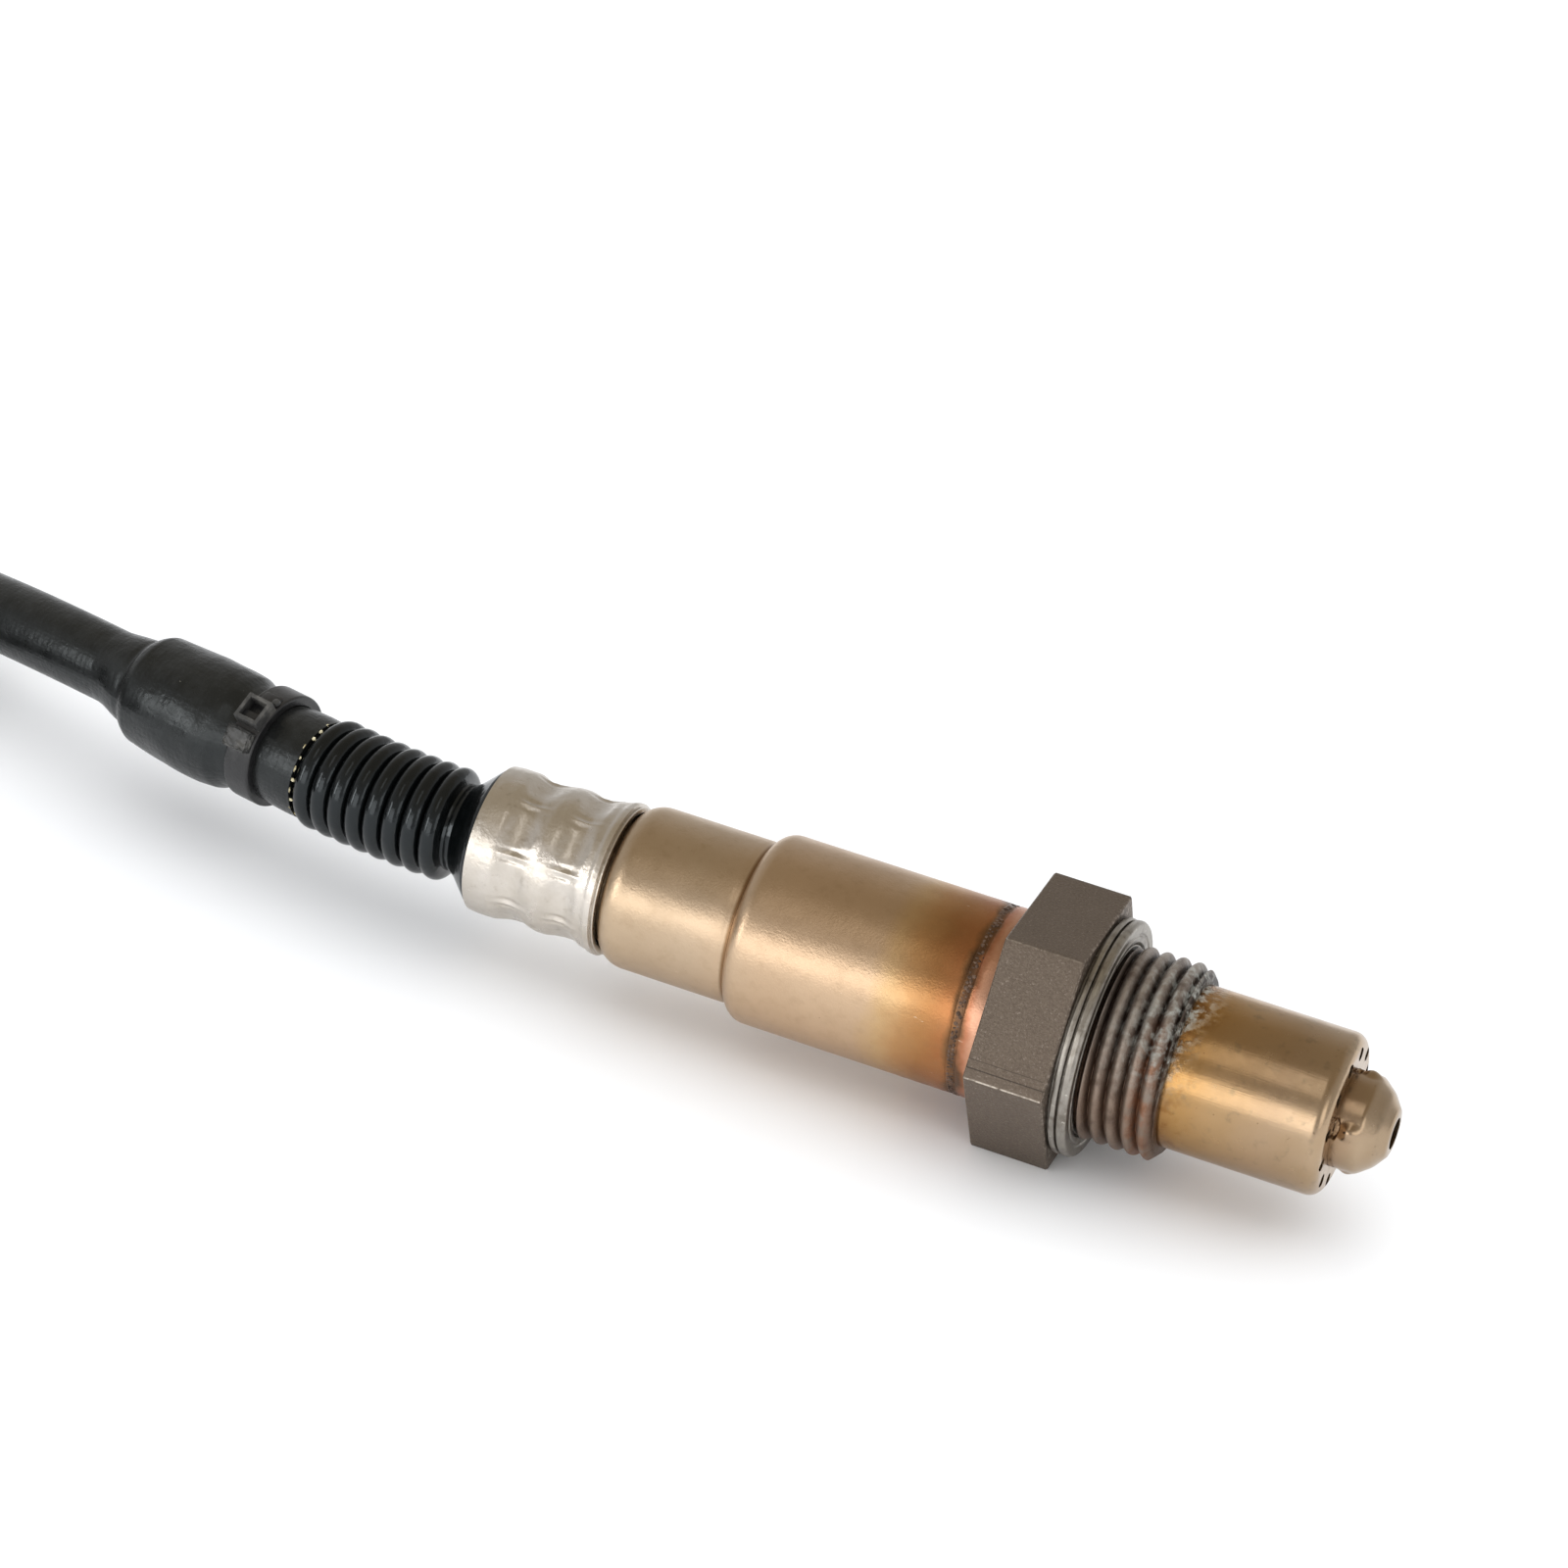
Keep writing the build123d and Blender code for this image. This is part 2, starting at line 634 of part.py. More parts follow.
def wire_places():
    """Where the wires cross a plane square to the axis, as (y, z)."""
    top = [(step * WIRE_PITCH, WIRE_ROW_HEIGHT) for step in (-1, 0, 1)]
    return top + [(step * WIRE_PITCH, -WIRE_ROW_HEIGHT) for step in (-0.5, 0.5)]


def contact(y, z):
    """Stamped contact: a bowed strip that presses on the element, with a crimp barrel."""
    side = math.copysign(1, z)
    pad = side * (ELEMENT_THICK / 2 + CONTACT_SHEET / 2)
    lift = side * (HOLDER_CAVITY_HEIGHT / 2 - CONTACT_SHEET)
    bow = Polyline(
        (HOLDER_REAR - 0.3, z),
        (HOLDER_REAR + 1.5, z),
        (ELEMENT_REAR + 2.0, lift * 0.62),
        (ELEMENT_REAR + 5.0, pad),
        (ELEMENT_REAR + 6.2, pad),
        (CONTACT_FRONT, lift),
    )
    strip = extrude(Plane.XZ * trace(bow, CONTACT_SHEET), CONTACT_WIDTH / 2, both=True)
    barrel_front = HOLDER_REAR - FIT
    barrel = ring(barrel_front - BARREL_LENGTH, barrel_front, BARREL_RADIUS, WIRE_RADIUS + FIT / 2)
    barrel += rod(barrel_front - BARREL_CLOSED, barrel_front, BARREL_RADIUS)
    return Pos(0, y * CONTACT_GATHER, 0) * strip + Pos(0, y, z) * barrel


def contacts():
    return [contact(y, z) for y, z in wire_places()]


# Wires, cable seal and crimped cap -------------------------------------------------------


def wires():
    """Insulated wires from the contacts to the place where the lead begins."""
    front = HOLDER_REAR - BARREL_CLOSED - 2 * FIT
    return [round_bar(bent_path(front, BOOT_LENGTH, y, z), WIRE_RADIUS) for y, z in wire_places()]


def wire_holes(rear, front):
    """Holes that the wires pass through."""
    return [Pos(0, y, z) * rod(rear, front, WIRE_RADIUS + FIT) for y, z in wire_places()]


def cable_seal():
    """Rubber plug in the sleeve's neck, with one hole for each wire and sealing beads."""
    body = rod(SLEEVE_REAR, SEAL_FRONT, SEAL_RADIUS - SEAL_BEAD)
    for step in (1, 2, 3):
        station = SLEEVE_REAR + step * SEAL_BEAD_SPACING
        body += ring(station - 0.7, station + 0.7, SEAL_RADIUS, SEAL_RADIUS - 2 * SEAL_BEAD)
    return body - wire_holes(SLEEVE_REAR - 1, SEAL_FRONT + 1)


def crimp_cap():
    """Thin cap with a rolled lip, pressed in along two rows by a tool with many jaws."""
    front_row, rear_row = CRIMP_STATIONS
    middle = (front_row + rear_row) / 2
    lip, ridge, valley = CAP_LIP_RADIUS, CAP_RIDGE_RADIUS, CAP_VALLEY_RADIUS
    outline = Spline(
        (CAP_LIP - 1.3, lip),
        (front_row, valley),
        (middle, ridge - 0.05),
        (rear_row, valley - 0.02),
        (CAP_REAR + 2.4, ridge),
        tangents=[(-1, 0), (-1, 0)],
    )
    rim = Polyline(
        outline @ 1,
        (CAP_REAR + 0.6, ridge - 0.25),
        (CAP_REAR, ridge - 0.75),
        (CAP_REAR, 0),
        (CAP_LIP, 0),
        (CAP_LIP, lip - 0.35),
    )
    rolled_edge = ThreePointArc(rim @ 1, (CAP_LIP - 0.35, lip - 0.03), outline @ 0)
    cap = revolve(make_face(outline + rim + rolled_edge), Axis.X)
    jaw_offset = CAP_DENT_RADIUS + CRIMP_TOOL_RADIUS
    for row in CRIMP_STATIONS:
        jaw = Pos(row, 0, jaw_offset) * Rot(90, 0, 0) * Cylinder(CRIMP_TOOL_RADIUS, 12)
        cap -= [turn * jaw for turn in around(CRIMP_JAWS, CRIMP_ANGLE)]
    bore = SLEEVE_NECK_RADIUS + FIT
    hollow = turned(
        [
            (CAP_LIP + 1, 0),
            (CAP_LIP + 1, lip - 2 * CAP_WALL),
            (CAP_LIP - 0.8, lip - 2 * CAP_WALL),
            (front_row + 1.4, bore),
            (front_row - 1.4, bore),
            (middle, CAP_BORE - 0.1),
            (rear_row + 1.4, bore),
            (rear_row - 1.4, bore),
            (SLEEVE_REAR + 0.3, CAP_BORE),
            (CAP_REAR + CAP_WALL, CAP_BORE - 0.3),
            (CAP_REAR + CAP_WALL, CONE_ROOT_RADIUS + FIT),
            (CAP_REAR - 1, CONE_ROOT_RADIUS + FIT),
            (CAP_REAR - 1, 0),
        ]
    )
    return cap - hollow


# Ribbed sleeve and braided sleeve --------------------------------------------------------


def bellows():
    """Moulded ribbed sleeve: a flange held in the cap, ribs, and a plug in the boot."""
    flange_rear = SLEEVE_REAR - FLANGE_LENGTH
    flange_radius = CAP_BORE - 0.35
    front = turned(
        [
            (SLEEVE_REAR, 0),
            (SLEEVE_REAR, flange_radius),
            (flange_rear, flange_radius),
            (flange_rear, CONE_ROOT_RADIUS),
            (CAP_REAR, CONE_ROOT_RADIUS),
            (BEND_START, CONE_NECK_RADIUS),
            (BEND_START, 0),
        ]
    )
    spigot = BOOT_RADIUS - BOOT_WALL - FIT
    plug = BOOT_BULGE - BOOT_WALL - FIT
    rear = turned(
        [
            (0, 0),
            (0, spigot),
            (-7.5, spigot),
            (-BULGE_FRONT, plug),
            (-BULGE_REAR, plug),
            (-BULGE_REAR, 0),
        ],
        [((-BULGE_FRONT, plug), 0.8), ((-BULGE_REAR, plug), 0.5)],
    )
    path = bent_path(BEND_START + 0.5, 0.5)
    body = front + round_bar(path, BELLOWS_CORE - 0.25) + on_boot(0) * rear
    for index in range(RIB_COUNT):
        rib = ring(-RIB_ROUND, RIB_ROUND, RIB_RADIUS, BELLOWS_BORE)
        rib = fillet(outer_edges(rib), RIB_ROUND * 0.98)
        body += on_bend(RIB_FIRST + index * RIB_PITCH) * rib
    return body - round_bar(bent_path(SLEEVE_REAR + 1, BULGE_REAR + 1), BELLOWS_BORE)


def boot_body():
    """Outer form of the boot: a waist for the tie, a bulge over the plug and a neck."""
    waist = BOOT_RADIUS - BOOT_WAIST
    tie_front = -TIE_STATION + TIE_WIDTH / 2
    tie_rear = tie_front - TIE_WIDTH
    mouth = Polyline(
        (0, BOOT_RADIUS),
        (tie_front + 0.3, BOOT_RADIUS),
        (tie_front, waist),
        (tie_rear, waist),
        (tie_rear - 0.6, BOOT_RADIUS + 0.1),
    )
    swell = Spline(
        mouth @ 1,
        (-BULGE_FRONT, BOOT_BULGE - 0.05),
        (-(BULGE_FRONT + BULGE_REAR) / 2, BOOT_BULGE),
        (-BULGE_REAR - 0.2, BOOT_BULGE - 0.06),
        (-NECK_STATION + 0.8, LEAD_RADIUS + 0.45),
        (-BOOT_LENGTH, LEAD_RADIUS),
        tangents=[(-1, 0.25), (-1, 0)],
    )
    closing = Polyline(swell @ 1, (-BOOT_LENGTH, 0), (0, 0), mouth @ 0)
    return revolve(make_face(mouth + swell + closing), Axis.X)


def sleeve_boot():
    """Front end of the braided sleeve, drawn over the ribbed sleeve's plug."""
    plug = BOOT_BULGE - BOOT_WALL
    spigot = BOOT_RADIUS - BOOT_WALL
    hollow = turned(
        [
            (1, 0),
            (1, spigot),
            (-7.4, spigot),
            (-BULGE_FRONT + 0.1, plug),
            (-BULGE_REAR, plug),
            (-NECK_STATION, LEAD_BORE),
            (-BOOT_LENGTH - 1, LEAD_BORE),
            (-BOOT_LENGTH - 1, 0),
        ]
    )
    return on_boot(0) * (boot_body() - hollow)


def cable_tie():
    """Band round the boot, with a windowed head and the tail's cut end beside it."""
    band_inner = BOOT_RADIUS - BOOT_WAIST + FIT
    band_outer = band_inner + TIE_THICK
    band = ring(-TIE_WIDTH / 2, TIE_WIDTH / 2, band_outer, band_inner)
    band = fillet(outer_edges(band), 0.25)
    middle = band_inner + TIE_HEAD_HEIGHT / 2
    head = Pos(0, 0, middle) * Box(TIE_HEAD_SIZE, TIE_HEAD_SIZE, TIE_HEAD_HEIGHT)
    head = fillet(head.edges().filter_by(Axis.Z), 0.3)
    head = fillet(head.faces().sort_by(Axis.Z)[-1].edges(), 0.12)
    window = Pos(0, 0, band_outer + TIE_HEAD_HEIGHT) * Box(TIE_WINDOW, TIE_WINDOW, 2 * TIE_HEAD_HEIGHT)
    tail_middle = band_inner + TIE_TAIL_HEIGHT / 2
    tail = Pos(TIE_TAIL_SHIFT, 0, tail_middle) * Box(TIE_TAIL_WIDTH, TIE_TAIL_LENGTH, TIE_TAIL_HEIGHT)
    tail = fillet(tail.edges().filter_by(Axis.Z), 0.3)
    outside = toward(TIE_HEAD_ANGLE) * (head - window) + toward(TIE_TAIL_ANGLE) * tail
    tie = band + (outside - rod(-TIE_HEAD_SIZE, TIE_HEAD_SIZE, band_inner))
    return on_boot(0) * (Pos(-TIE_STATION, 0, 0) * tie - boot_body())


# Lead ------------------------------------------------------------------------------------


def lead_points():
    """Route from the boot to the coil, chosen by hand after its straight start."""
    exit_point = on_boot(BOOT_LENGTH).position
    ahead = on_boot(BOOT_LENGTH + LEAD_STRAIGHT).position
    return [
        (exit_point.X, exit_point.Y, 0.0),
        (ahead.X, ahead.Y, 0.0),
        (-124.0, 14.4, -2.2),
        (-137.0, 20.3, -5.3),
        (-150.2, 26.0, LEAD_HEIGHT),
    ]


def tail_points():
    """Route from the coil's top to the plug, chosen by hand."""
    centre_x, centre_y = COIL_CENTRE
    return [
        (centre_x - FIT, centre_y + COIL_RADIUS, COIL_TOP),
        (-180.0, 28.9, 0.1),
        (-191.5, 24.5, 2.9),
        (PLUG_AXIS_X, 15.5, PLUG_AXIS_Z),
        (PLUG_AXIS_X, PLUG_REAR + HOOD_LENGTH - HOOD_WALL, PLUG_AXIS_Z),
    ]


def route(points):
    """Straight runs joined by tangent arcs, each as large as its two runs allow."""
    corners = [Vector(*point) for point in points]
    radii = []
    for before, corner, after in zip(corners, corners[1:], corners[2:]):
        run_in, run_out = corner - before, after - corner
        half_turn = math.radians(run_in.get_angle(run_out)) / 2
        radii.append(0.45 * min(run_in.length, run_out.length) / math.tan(half_turn))
    print("arc radii", [round(radius, 1) for radius in radii])
    return FilletPolyline(*corners, radius=radii)


def lead_tube(points):
    path = route(points)
    tube = round_bar(path, LEAD_RADIUS)
    share = tube.volume / (math.pi * LEAD_RADIUS**2 * path.length)
    print(f"length {path.length:.1f}, volume over section times length {share:.4f}")
    return tube


def lead_coil():
    """Outer shape of the coil: one turn on the floor and the second that starts on it."""
    section = Pos(COIL_RADIUS, 0, 0) * Rot(90, 0, 0) * Circle(LEAD_RADIUS)
    low = Pos(0, 0, LEAD_HEIGHT) * revolve(section, Axis.Z)
    rise_angle = 90 - COIL_RISE_FROM
    fall = COIL_RADIUS * (1 - math.cos(math.radians(rise_angle)))
    tilt = math.degrees(math.asin((COIL_TOP - LEAD_HEIGHT) / fall))
    rising = Rot(0, 0, COIL_RISE_FROM) * revolve(section, Axis.Z, rise_angle)
    hinge = Pos(0, COIL_RADIUS, COIL_TOP) * Rot(tilt, 0, 0) * Pos(0, -COIL_RADIUS, 0)
    return Pos(*COIL_CENTRE, 0) * (low + hinge * rising)


def lead_sleeve():
    """The lead from the boot to where it runs into the coil, ended before it thins out there."""
    points = lead_points()
    before, entry = Vector(*points[-2]), Vector(*points[-1])
    cut = Plane(origin=entry + (before - entry).normalized() * LEAD_MERGE_LENGTH, z_dir=entry - before)
    merged = cut * Pos(0, 0, LEAD_MERGE_LENGTH) * Cylinder(3 * LEAD_RADIUS, 2 * LEAD_MERGE_LENGTH)
    tube = lead_tube(points) - merged - lead_coil()
    return tube.solids().sort_by(SortBy.VOLUME)[-1]


def lead_tail():
    """The lead from the coil to the plug."""
    return lead_tube(tail_points())


def coil_tie():
    """Tie round the single turn near the sensor, with a small head."""
    inner = LEAD_RADIUS + FIT
    outer = inner + COIL_TIE_THICK
    band = Rot(0, 0, 90) * ring(-COIL_TIE_WIDTH / 2, COIL_TIE_WIDTH / 2, outer, inner)
    head = Box(COIL_HEAD_WIDTH, COIL_TIE_WIDTH + 1.0, COIL_HEAD_HEIGHT)
    head = fillet(head.edges().filter_by(Axis.Z), 0.5)
    tie = band + Pos(0, 0, outer + COIL_HEAD_HEIGHT / 2 - 0.5) * head
    reach = 3 * LEAD_RADIUS
    below = slab((-reach, reach), (-reach, reach), (-reach, -LEAD_RADIUS))
    angle = math.radians(COIL_TIE_ANGLE)
    centre_x, centre_y = COIL_CENTRE
    place = Pos(
        centre_x + COIL_RADIUS * math.cos(angle),
        centre_y + COIL_RADIUS * math.sin(angle),
        LEAD_HEIGHT,
    )
    return place * Rot(0, 0, COIL_TIE_ANGLE) * (tie - below)


# Plug ------------------------------------------------------------------------------------


def at_plug(part):
    """Bring a part from the plug's own frame, where X runs from its rear to its mouth."""
    return Pos(PLUG_AXIS_X, PLUG_REAR, PLUG_AXIS_Z) * Rot(0, 0, -90) * part


def rounded_block(rear, front, width, height, corner):
    """Bar with rounded edges between two stations of the plug."""
    section = Plane.YZ * RectangleRounded(width, height, corner)
    return Pos(rear, 0, 0) * extrude(section, front - rear)


def shroud_block(rear, front, width, height, corner):
    """Rounded bar on the shroud's own axis, which lies below the plug's by half the latch."""
    return Pos(0, 0, SHROUD_DROP) * rounded_block(rear, front, width, height, corner)


def terminal_places():
    """Centres of the terminals, as (y, z)."""
    rows = (TERMINAL_ROWS / 2 + SHROUD_DROP, -TERMINAL_ROWS / 2 + SHROUD_DROP)
    return [(column * TERMINAL_PITCH, z) for z in rows for column in (-1, 0, 1)]


def terminal_cavities(rear, front):
    """Through holes for the terminals' tabs."""
    half_width, half_thick = TAB_WIDTH / 2 + FIT, TAB_THICK / 2 + FIT
    hole = slab((rear, front), (-half_width, half_width), (-half_thick, half_thick))
    return [Pos(0, y, z) * hole for y, z in terminal_places()]


def lock_range():
    """Stations of the slot that the lock slides into."""
    rear = SOCKET_FLOOR - BULKHEAD / 2 - LOCK_THICK / 2
    return rear, rear + LOCK_THICK


def rails(extra=0.0):
    """Two rails beside the latch, on top of the shroud, widened by extra on each side."""
    top = PLUG_HEIGHT / 2
    half = RAIL_WIDTH / 2 + extra
    places = [side * (LATCH_WIDTH / 2 + 2.2) for side in (-1, 1)]
    stations = (RAIL_REAR, PLUG_LENGTH - RAIL_FRONT)
    return [slab(stations, (y - half, y + half), (top - LATCH_HEIGHT, top)) for y in places]


def latch_ramp():
    """Wedge on top of the shroud that the mating half's latch clicks over."""
    top = PLUG_HEIGHT / 2
    foot = top - LATCH_HEIGHT
    front = PLUG_LENGTH - 4.0
    rear = front - LATCH_LENGTH
    outline = Polyline((rear, foot), (front, foot), (rear + 3, top), (rear, top), close=True)
    return extrude(Plane.XZ * make_face(outline), LATCH_WIDTH / 2, both=True)


def plug_housing():
    """Moulded shroud with a socket in front, a bulkhead and a pocket for the wire seal."""
    body = shroud_block(0, PLUG_LENGTH, PLUG_WIDTH, SHROUD_HEIGHT, PLUG_CORNER)
    inside = (SOCKET_WIDTH, SOCKET_HEIGHT, SOCKET_CORNER)
    body -= shroud_block(SOCKET_FLOOR, PLUG_LENGTH + 1, *inside)
    body -= shroud_block(-1, SEAL_POCKET, *inside)
    body -= terminal_cavities(SEAL_POCKET - 1, SOCKET_FLOOR + 1)
    lock_foot = SHROUD_DROP - LOCK_THICK / 2 - FIT
    body -= slab(lock_range(), (-SOCKET_WIDTH / 2, SOCKET_WIDTH / 2), (lock_foot, PLUG_HEIGHT))
    body += latch_ramp() + rails()
    key_heights = (SHROUD_DROP - KEY_HEIGHT / 2, SHROUD_DROP + KEY_HEIGHT / 2)
    for side in (-1, 1):
        y = side * (SOCKET_WIDTH - KEY_WIDTH) / 2
        key = (y - KEY_WIDTH / 2 - FIT, y + KEY_WIDTH / 2 + FIT)
        body += slab((SOCKET_FLOOR, PLUG_LENGTH - RAIL_FRONT), key, key_heights)
    return at_plug(body)


def plug_lock():
    """Comb that slides in from above and holds the terminals."""
    rear, front = lock_range()
    foot = PLUG_HEIGHT / 2 - LATCH_HEIGHT
    half_width = SOCKET_WIDTH / 2 - FIT
    comb_heights = (SHROUD_DROP - LOCK_THICK / 2 + FIT, foot)
    comb = slab((rear + FIT, front - FIT), (-half_width, half_width), comb_heights)
    comb -= terminal_cavities(rear - 1, front + 1)
    head = slab((rear - 1.2, front + 1.2), (1 - half_width, half_width - 1), (foot, foot + 1.0))
    return at_plug(comb + (head - rails(0.3)))


def terminals():
    """Flat tabs that reach from the seal's pocket into the socket."""
    stations = (SEAL_POCKET - 0.5, SOCKET_FLOOR + TAB_REACH)
    half_width, half_thick = TAB_WIDTH / 2, TAB_THICK / 2
    tab = slab(stations, (-half_width, half_width), (-half_thick, half_thick))
    tab = chamfer(tab.faces().sort_by(Axis.X)[-1].edges(), 0.25)
    return [at_plug(Pos(0, y, z) * tab) for y, z in terminal_places()]


def seal_block(rear, front, wall=0.0):
    """Bar that fills the seal's pocket, less a wall on every side."""
    width, height = SOCKET_WIDTH - 2 * FIT, SOCKET_HEIGHT - 2 * FIT
    corner = SOCKET_CORNER - FIT
    return shroud_block(rear, front, width - 2 * wall, height - 2 * wall, corner)


def wire_seal():
    """Rubber mat in the plug's rear pocket, with a hole for each wire."""
    mat = seal_block(HOOD_FOOT, SEAL_POCKET - 0.6)
    hole = rod(HOOD_FOOT - 1, SEAL_POCKET, WIRE_RADIUS + FIT)
    return at_plug(mat - [Pos(0, y, z) * hole for y, z in terminal_places()])


def rear_hood():
    """Cover behind the plug that guides the wires from the lead into the seal."""
    inner_width = SOCKET_WIDTH - 2 * FIT - 2 * HOOD_WALL
    inner_height = SOCKET_HEIGHT - 2 * FIT - 2 * HOOD_WALL
    neck_room = HOOD_NECK - 2 * HOOD_WALL - 0.6
    flare = loft(
        [
            Plane.YZ * RectangleRounded(PLUG_WIDTH, SHROUD_HEIGHT, PLUG_CORNER),
            Plane.YZ.offset(-HOOD_LENGTH) * RectangleRounded(HOOD_NECK, HOOD_NECK, HOOD_NECK / 3),
        ]
    )
    room = loft(
        [
            Plane.YZ * RectangleRounded(inner_width, inner_height, SOCKET_CORNER - FIT),
            Plane.YZ.offset(HOOD_WALL - HOOD_LENGTH) * RectangleRounded(neck_room, neck_room, 2.8),
        ]
    )
    hood = Pos(0, 0, SHROUD_DROP) * (flare - room)
    hood += seal_block(0, HOOD_FOOT) - seal_block(-1, HOOD_FOOT + 1, HOOD_WALL)
    return at_plug(hood - rod(-HOOD_LENGTH - 1, 0, LEAD_RADIUS + FIT))


def plug_wires():
    """Wires that fan out from the lead's end, through the seal, to the terminals."""
    start = HOOD_WALL - HOOD_LENGTH
    bars = []
    for (y0, z0), (y1, z1) in zip(wire_places(), terminal_places()):
        corners = [(start, y0, z0), (start + 1.6, y0, z0), (0.6, y1, z1), (SEAL_POCKET - 0.5, y1, z1)]
        bars.append(at_plug(round_bar(FilletPolyline(*corners, radius=1.5), WIRE_RADIUS)))
    return bars


def trim_resistor():
    """Small chip that trims the sensor, on the socket's floor between the rows of tabs."""
    half_width = TERMINAL_PITCH / 2 + 1.0
    heights = (SHROUD_DROP - 0.8, SHROUD_DROP + 0.8)
    return at_plug(slab((SOCKET_FLOOR, SOCKET_FLOOR + 0.9), (-half_width, half_width), heights))


SINGLE_PIECES = {
    "housing": housing,
    "gasket": gasket,
    "outer_protection_tube": outer_protection_tube,
    "inner_protection_tube": inner_protection_tube,
    "sensor_element": sensor_element,
    "lower_ceramic_bush": lower_ceramic_bush,
    "talc_packing": talc_packing,
    "upper_ceramic_bush": upper_ceramic_bush,
    "disc_spring": disc_spring,
    "press_ring": press_ring,
    "protective_sleeve": protective_sleeve,
    "contact_holder_upper": lambda: holder_half(1),
    "contact_holder_lower": lambda: holder_half(-1),
    "holder_clamp": holder_clamp,
    "cable_seal": cable_seal,
    "crimp_cap": crimp_cap,
    "bellows": bellows,
    "sleeve_boot": sleeve_boot,
    "cable_tie": cable_tie,
    "lead_sleeve": lead_sleeve,
    "lead_coil": lead_coil,
    "lead_tail": lead_tail,
    "coil_tie": coil_tie,
    "plug_housing": plug_housing,
    "plug_lock": plug_lock,
    "wire_seal": wire_seal,
    "rear_hood": rear_hood,
    "trim_resistor": trim_resistor,
}

GROUPS = {
    "contacts": contacts,
    "wires": wires,
    "terminals": terminals,
    "plug_wires": plug_wires,
}


def write(name, shape):
    """Write one node, its solids gathered under its name."""
    solids = shape if isinstance(shape, list) else [shape]
    solids = [solid for part in solids for solid in part.solids()]
    node = Compound(label=name, children=solids) if len(solids) > 1 else solids[0]
    node.label = name
    export_step(node, f"parts/{name}.step")


os.makedirs("parts", exist_ok=True)
for name, make in {**SINGLE_PIECES, **GROUPS}.items():
    write(name, make())
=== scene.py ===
from math import cos, pi, radians, sin, tan

import bmesh
import bpy
import numpy as np
from mathutils import Matrix, Vector


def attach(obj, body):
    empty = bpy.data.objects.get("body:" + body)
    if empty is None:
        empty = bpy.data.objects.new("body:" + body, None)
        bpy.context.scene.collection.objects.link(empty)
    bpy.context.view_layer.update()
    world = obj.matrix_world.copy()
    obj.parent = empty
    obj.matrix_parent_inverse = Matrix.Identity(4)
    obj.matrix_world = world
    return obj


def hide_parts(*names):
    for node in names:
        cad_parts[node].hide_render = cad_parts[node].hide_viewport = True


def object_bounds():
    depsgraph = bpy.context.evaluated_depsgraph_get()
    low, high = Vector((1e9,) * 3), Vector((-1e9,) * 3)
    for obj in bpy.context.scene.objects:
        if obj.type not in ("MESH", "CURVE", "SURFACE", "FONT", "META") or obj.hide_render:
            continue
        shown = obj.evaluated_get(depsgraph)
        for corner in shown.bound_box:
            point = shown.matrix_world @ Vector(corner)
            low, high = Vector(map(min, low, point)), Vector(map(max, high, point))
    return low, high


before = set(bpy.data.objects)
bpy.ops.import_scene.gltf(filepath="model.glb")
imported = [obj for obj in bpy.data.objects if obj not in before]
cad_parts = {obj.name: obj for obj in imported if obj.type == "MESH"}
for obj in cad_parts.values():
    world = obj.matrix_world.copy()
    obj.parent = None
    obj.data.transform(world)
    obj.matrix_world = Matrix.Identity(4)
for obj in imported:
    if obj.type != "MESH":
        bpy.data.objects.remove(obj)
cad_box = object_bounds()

# The sensor lies along X with its tip towards +X. Lengths here are millimetres: MM turns
# them into metres when a mesh is made. A station is a place along X, and an angle goes
# round the axis from -Y (0) over the top, +Z (90).
MM = 0.001

HEX_FLAT = 11.0
HEX_CORNER = HEX_FLAT / cos(pi / 6)
HEX_REAR, HEX_FRONT = -9.25, -1.9
HEX_EDGE, HEX_BLUNT = 0.14, 0.04
THREAD_CREST = 9.0
THREAD_PITCH = 1.5
THREAD_DEPTH = 0.82
THREAD_ROOT = 8.2
THREAD_FRONT = 7.2
# A ridge's half width at its foot, how square it is, and how steeply the thread's ends fade.
RIDGE_HALF, RIDGE_SQUARE = 0.71, 2.1
THREAD_RUN_IN, THREAD_RUN_OUT = 2.2, 1.1
CREST_STATION = 1.73
PASTE_ANGLE = 72.0
COLLAR_REAR = -14.5
NOSE_RADIUS, NOSE_BORE = 4.45, 4.05
FLANGE_RADIUS, FLANGE_BORE = 5.6, 5.2
GILL_COUNT = 4
GILL_ANGLE = 18.0
GILL_STATION = 23.3
GILL_SLOT = 22.05
GILL_RADIUS = 1.15
GILL_STAND = 0.38
GILL_SLOT_HALVES = (0.3, 0.85)
GILL_SLOT_DEPTH = 0.36
SLEEVE_FRONT = -9.35
SLEEVE_RADIUS = 8.85
SLEEVE_MID_RADIUS = 7.615
SLEEVE_NECK_RADIUS = 5.85
WELD_STATION = -11.68
CAP_LIP, CAP_REAR = -47.05, -60.15
CRIMP_STATIONS = (-50.6, -55.7)
CRIMP_JAWS = 8
CRIMP_ANGLE = 2.0
CRIMP_DEPTHS = (6.3, 6.24)
CRIMP_TOOL = 2.4
CRIMP_NEAR = 1.15
FOLD_RISE, FOLD_WIDTH = 0.13, 0.028
CREASE_DEPTH, CREASE_PLACE, CREASE_WIDTH = 0.09, 0.075, 0.032
BEND_START = -62.9
BEND_RADIUS = 68.0
BEND_ANGLE = radians(13.0)
MOUTH_FROM_BEND = 16.25
RIB_COUNT = 8
RIB_FIRST, RIB_PITCH = -64.6, 1.83
RIB_CREST = 5.37
RIB_ROUND = 0.89
RIB_REACH = 0.95
BOOT_FRONT, BOOT_REAR = 0.45, -25.2
TIE_STATION = -5.45
TIE_WIDTH = 2.9
TIE_TOP = 6.65
HEAD_WINDOW, HEAD_EDGE = 0.95, 1.35
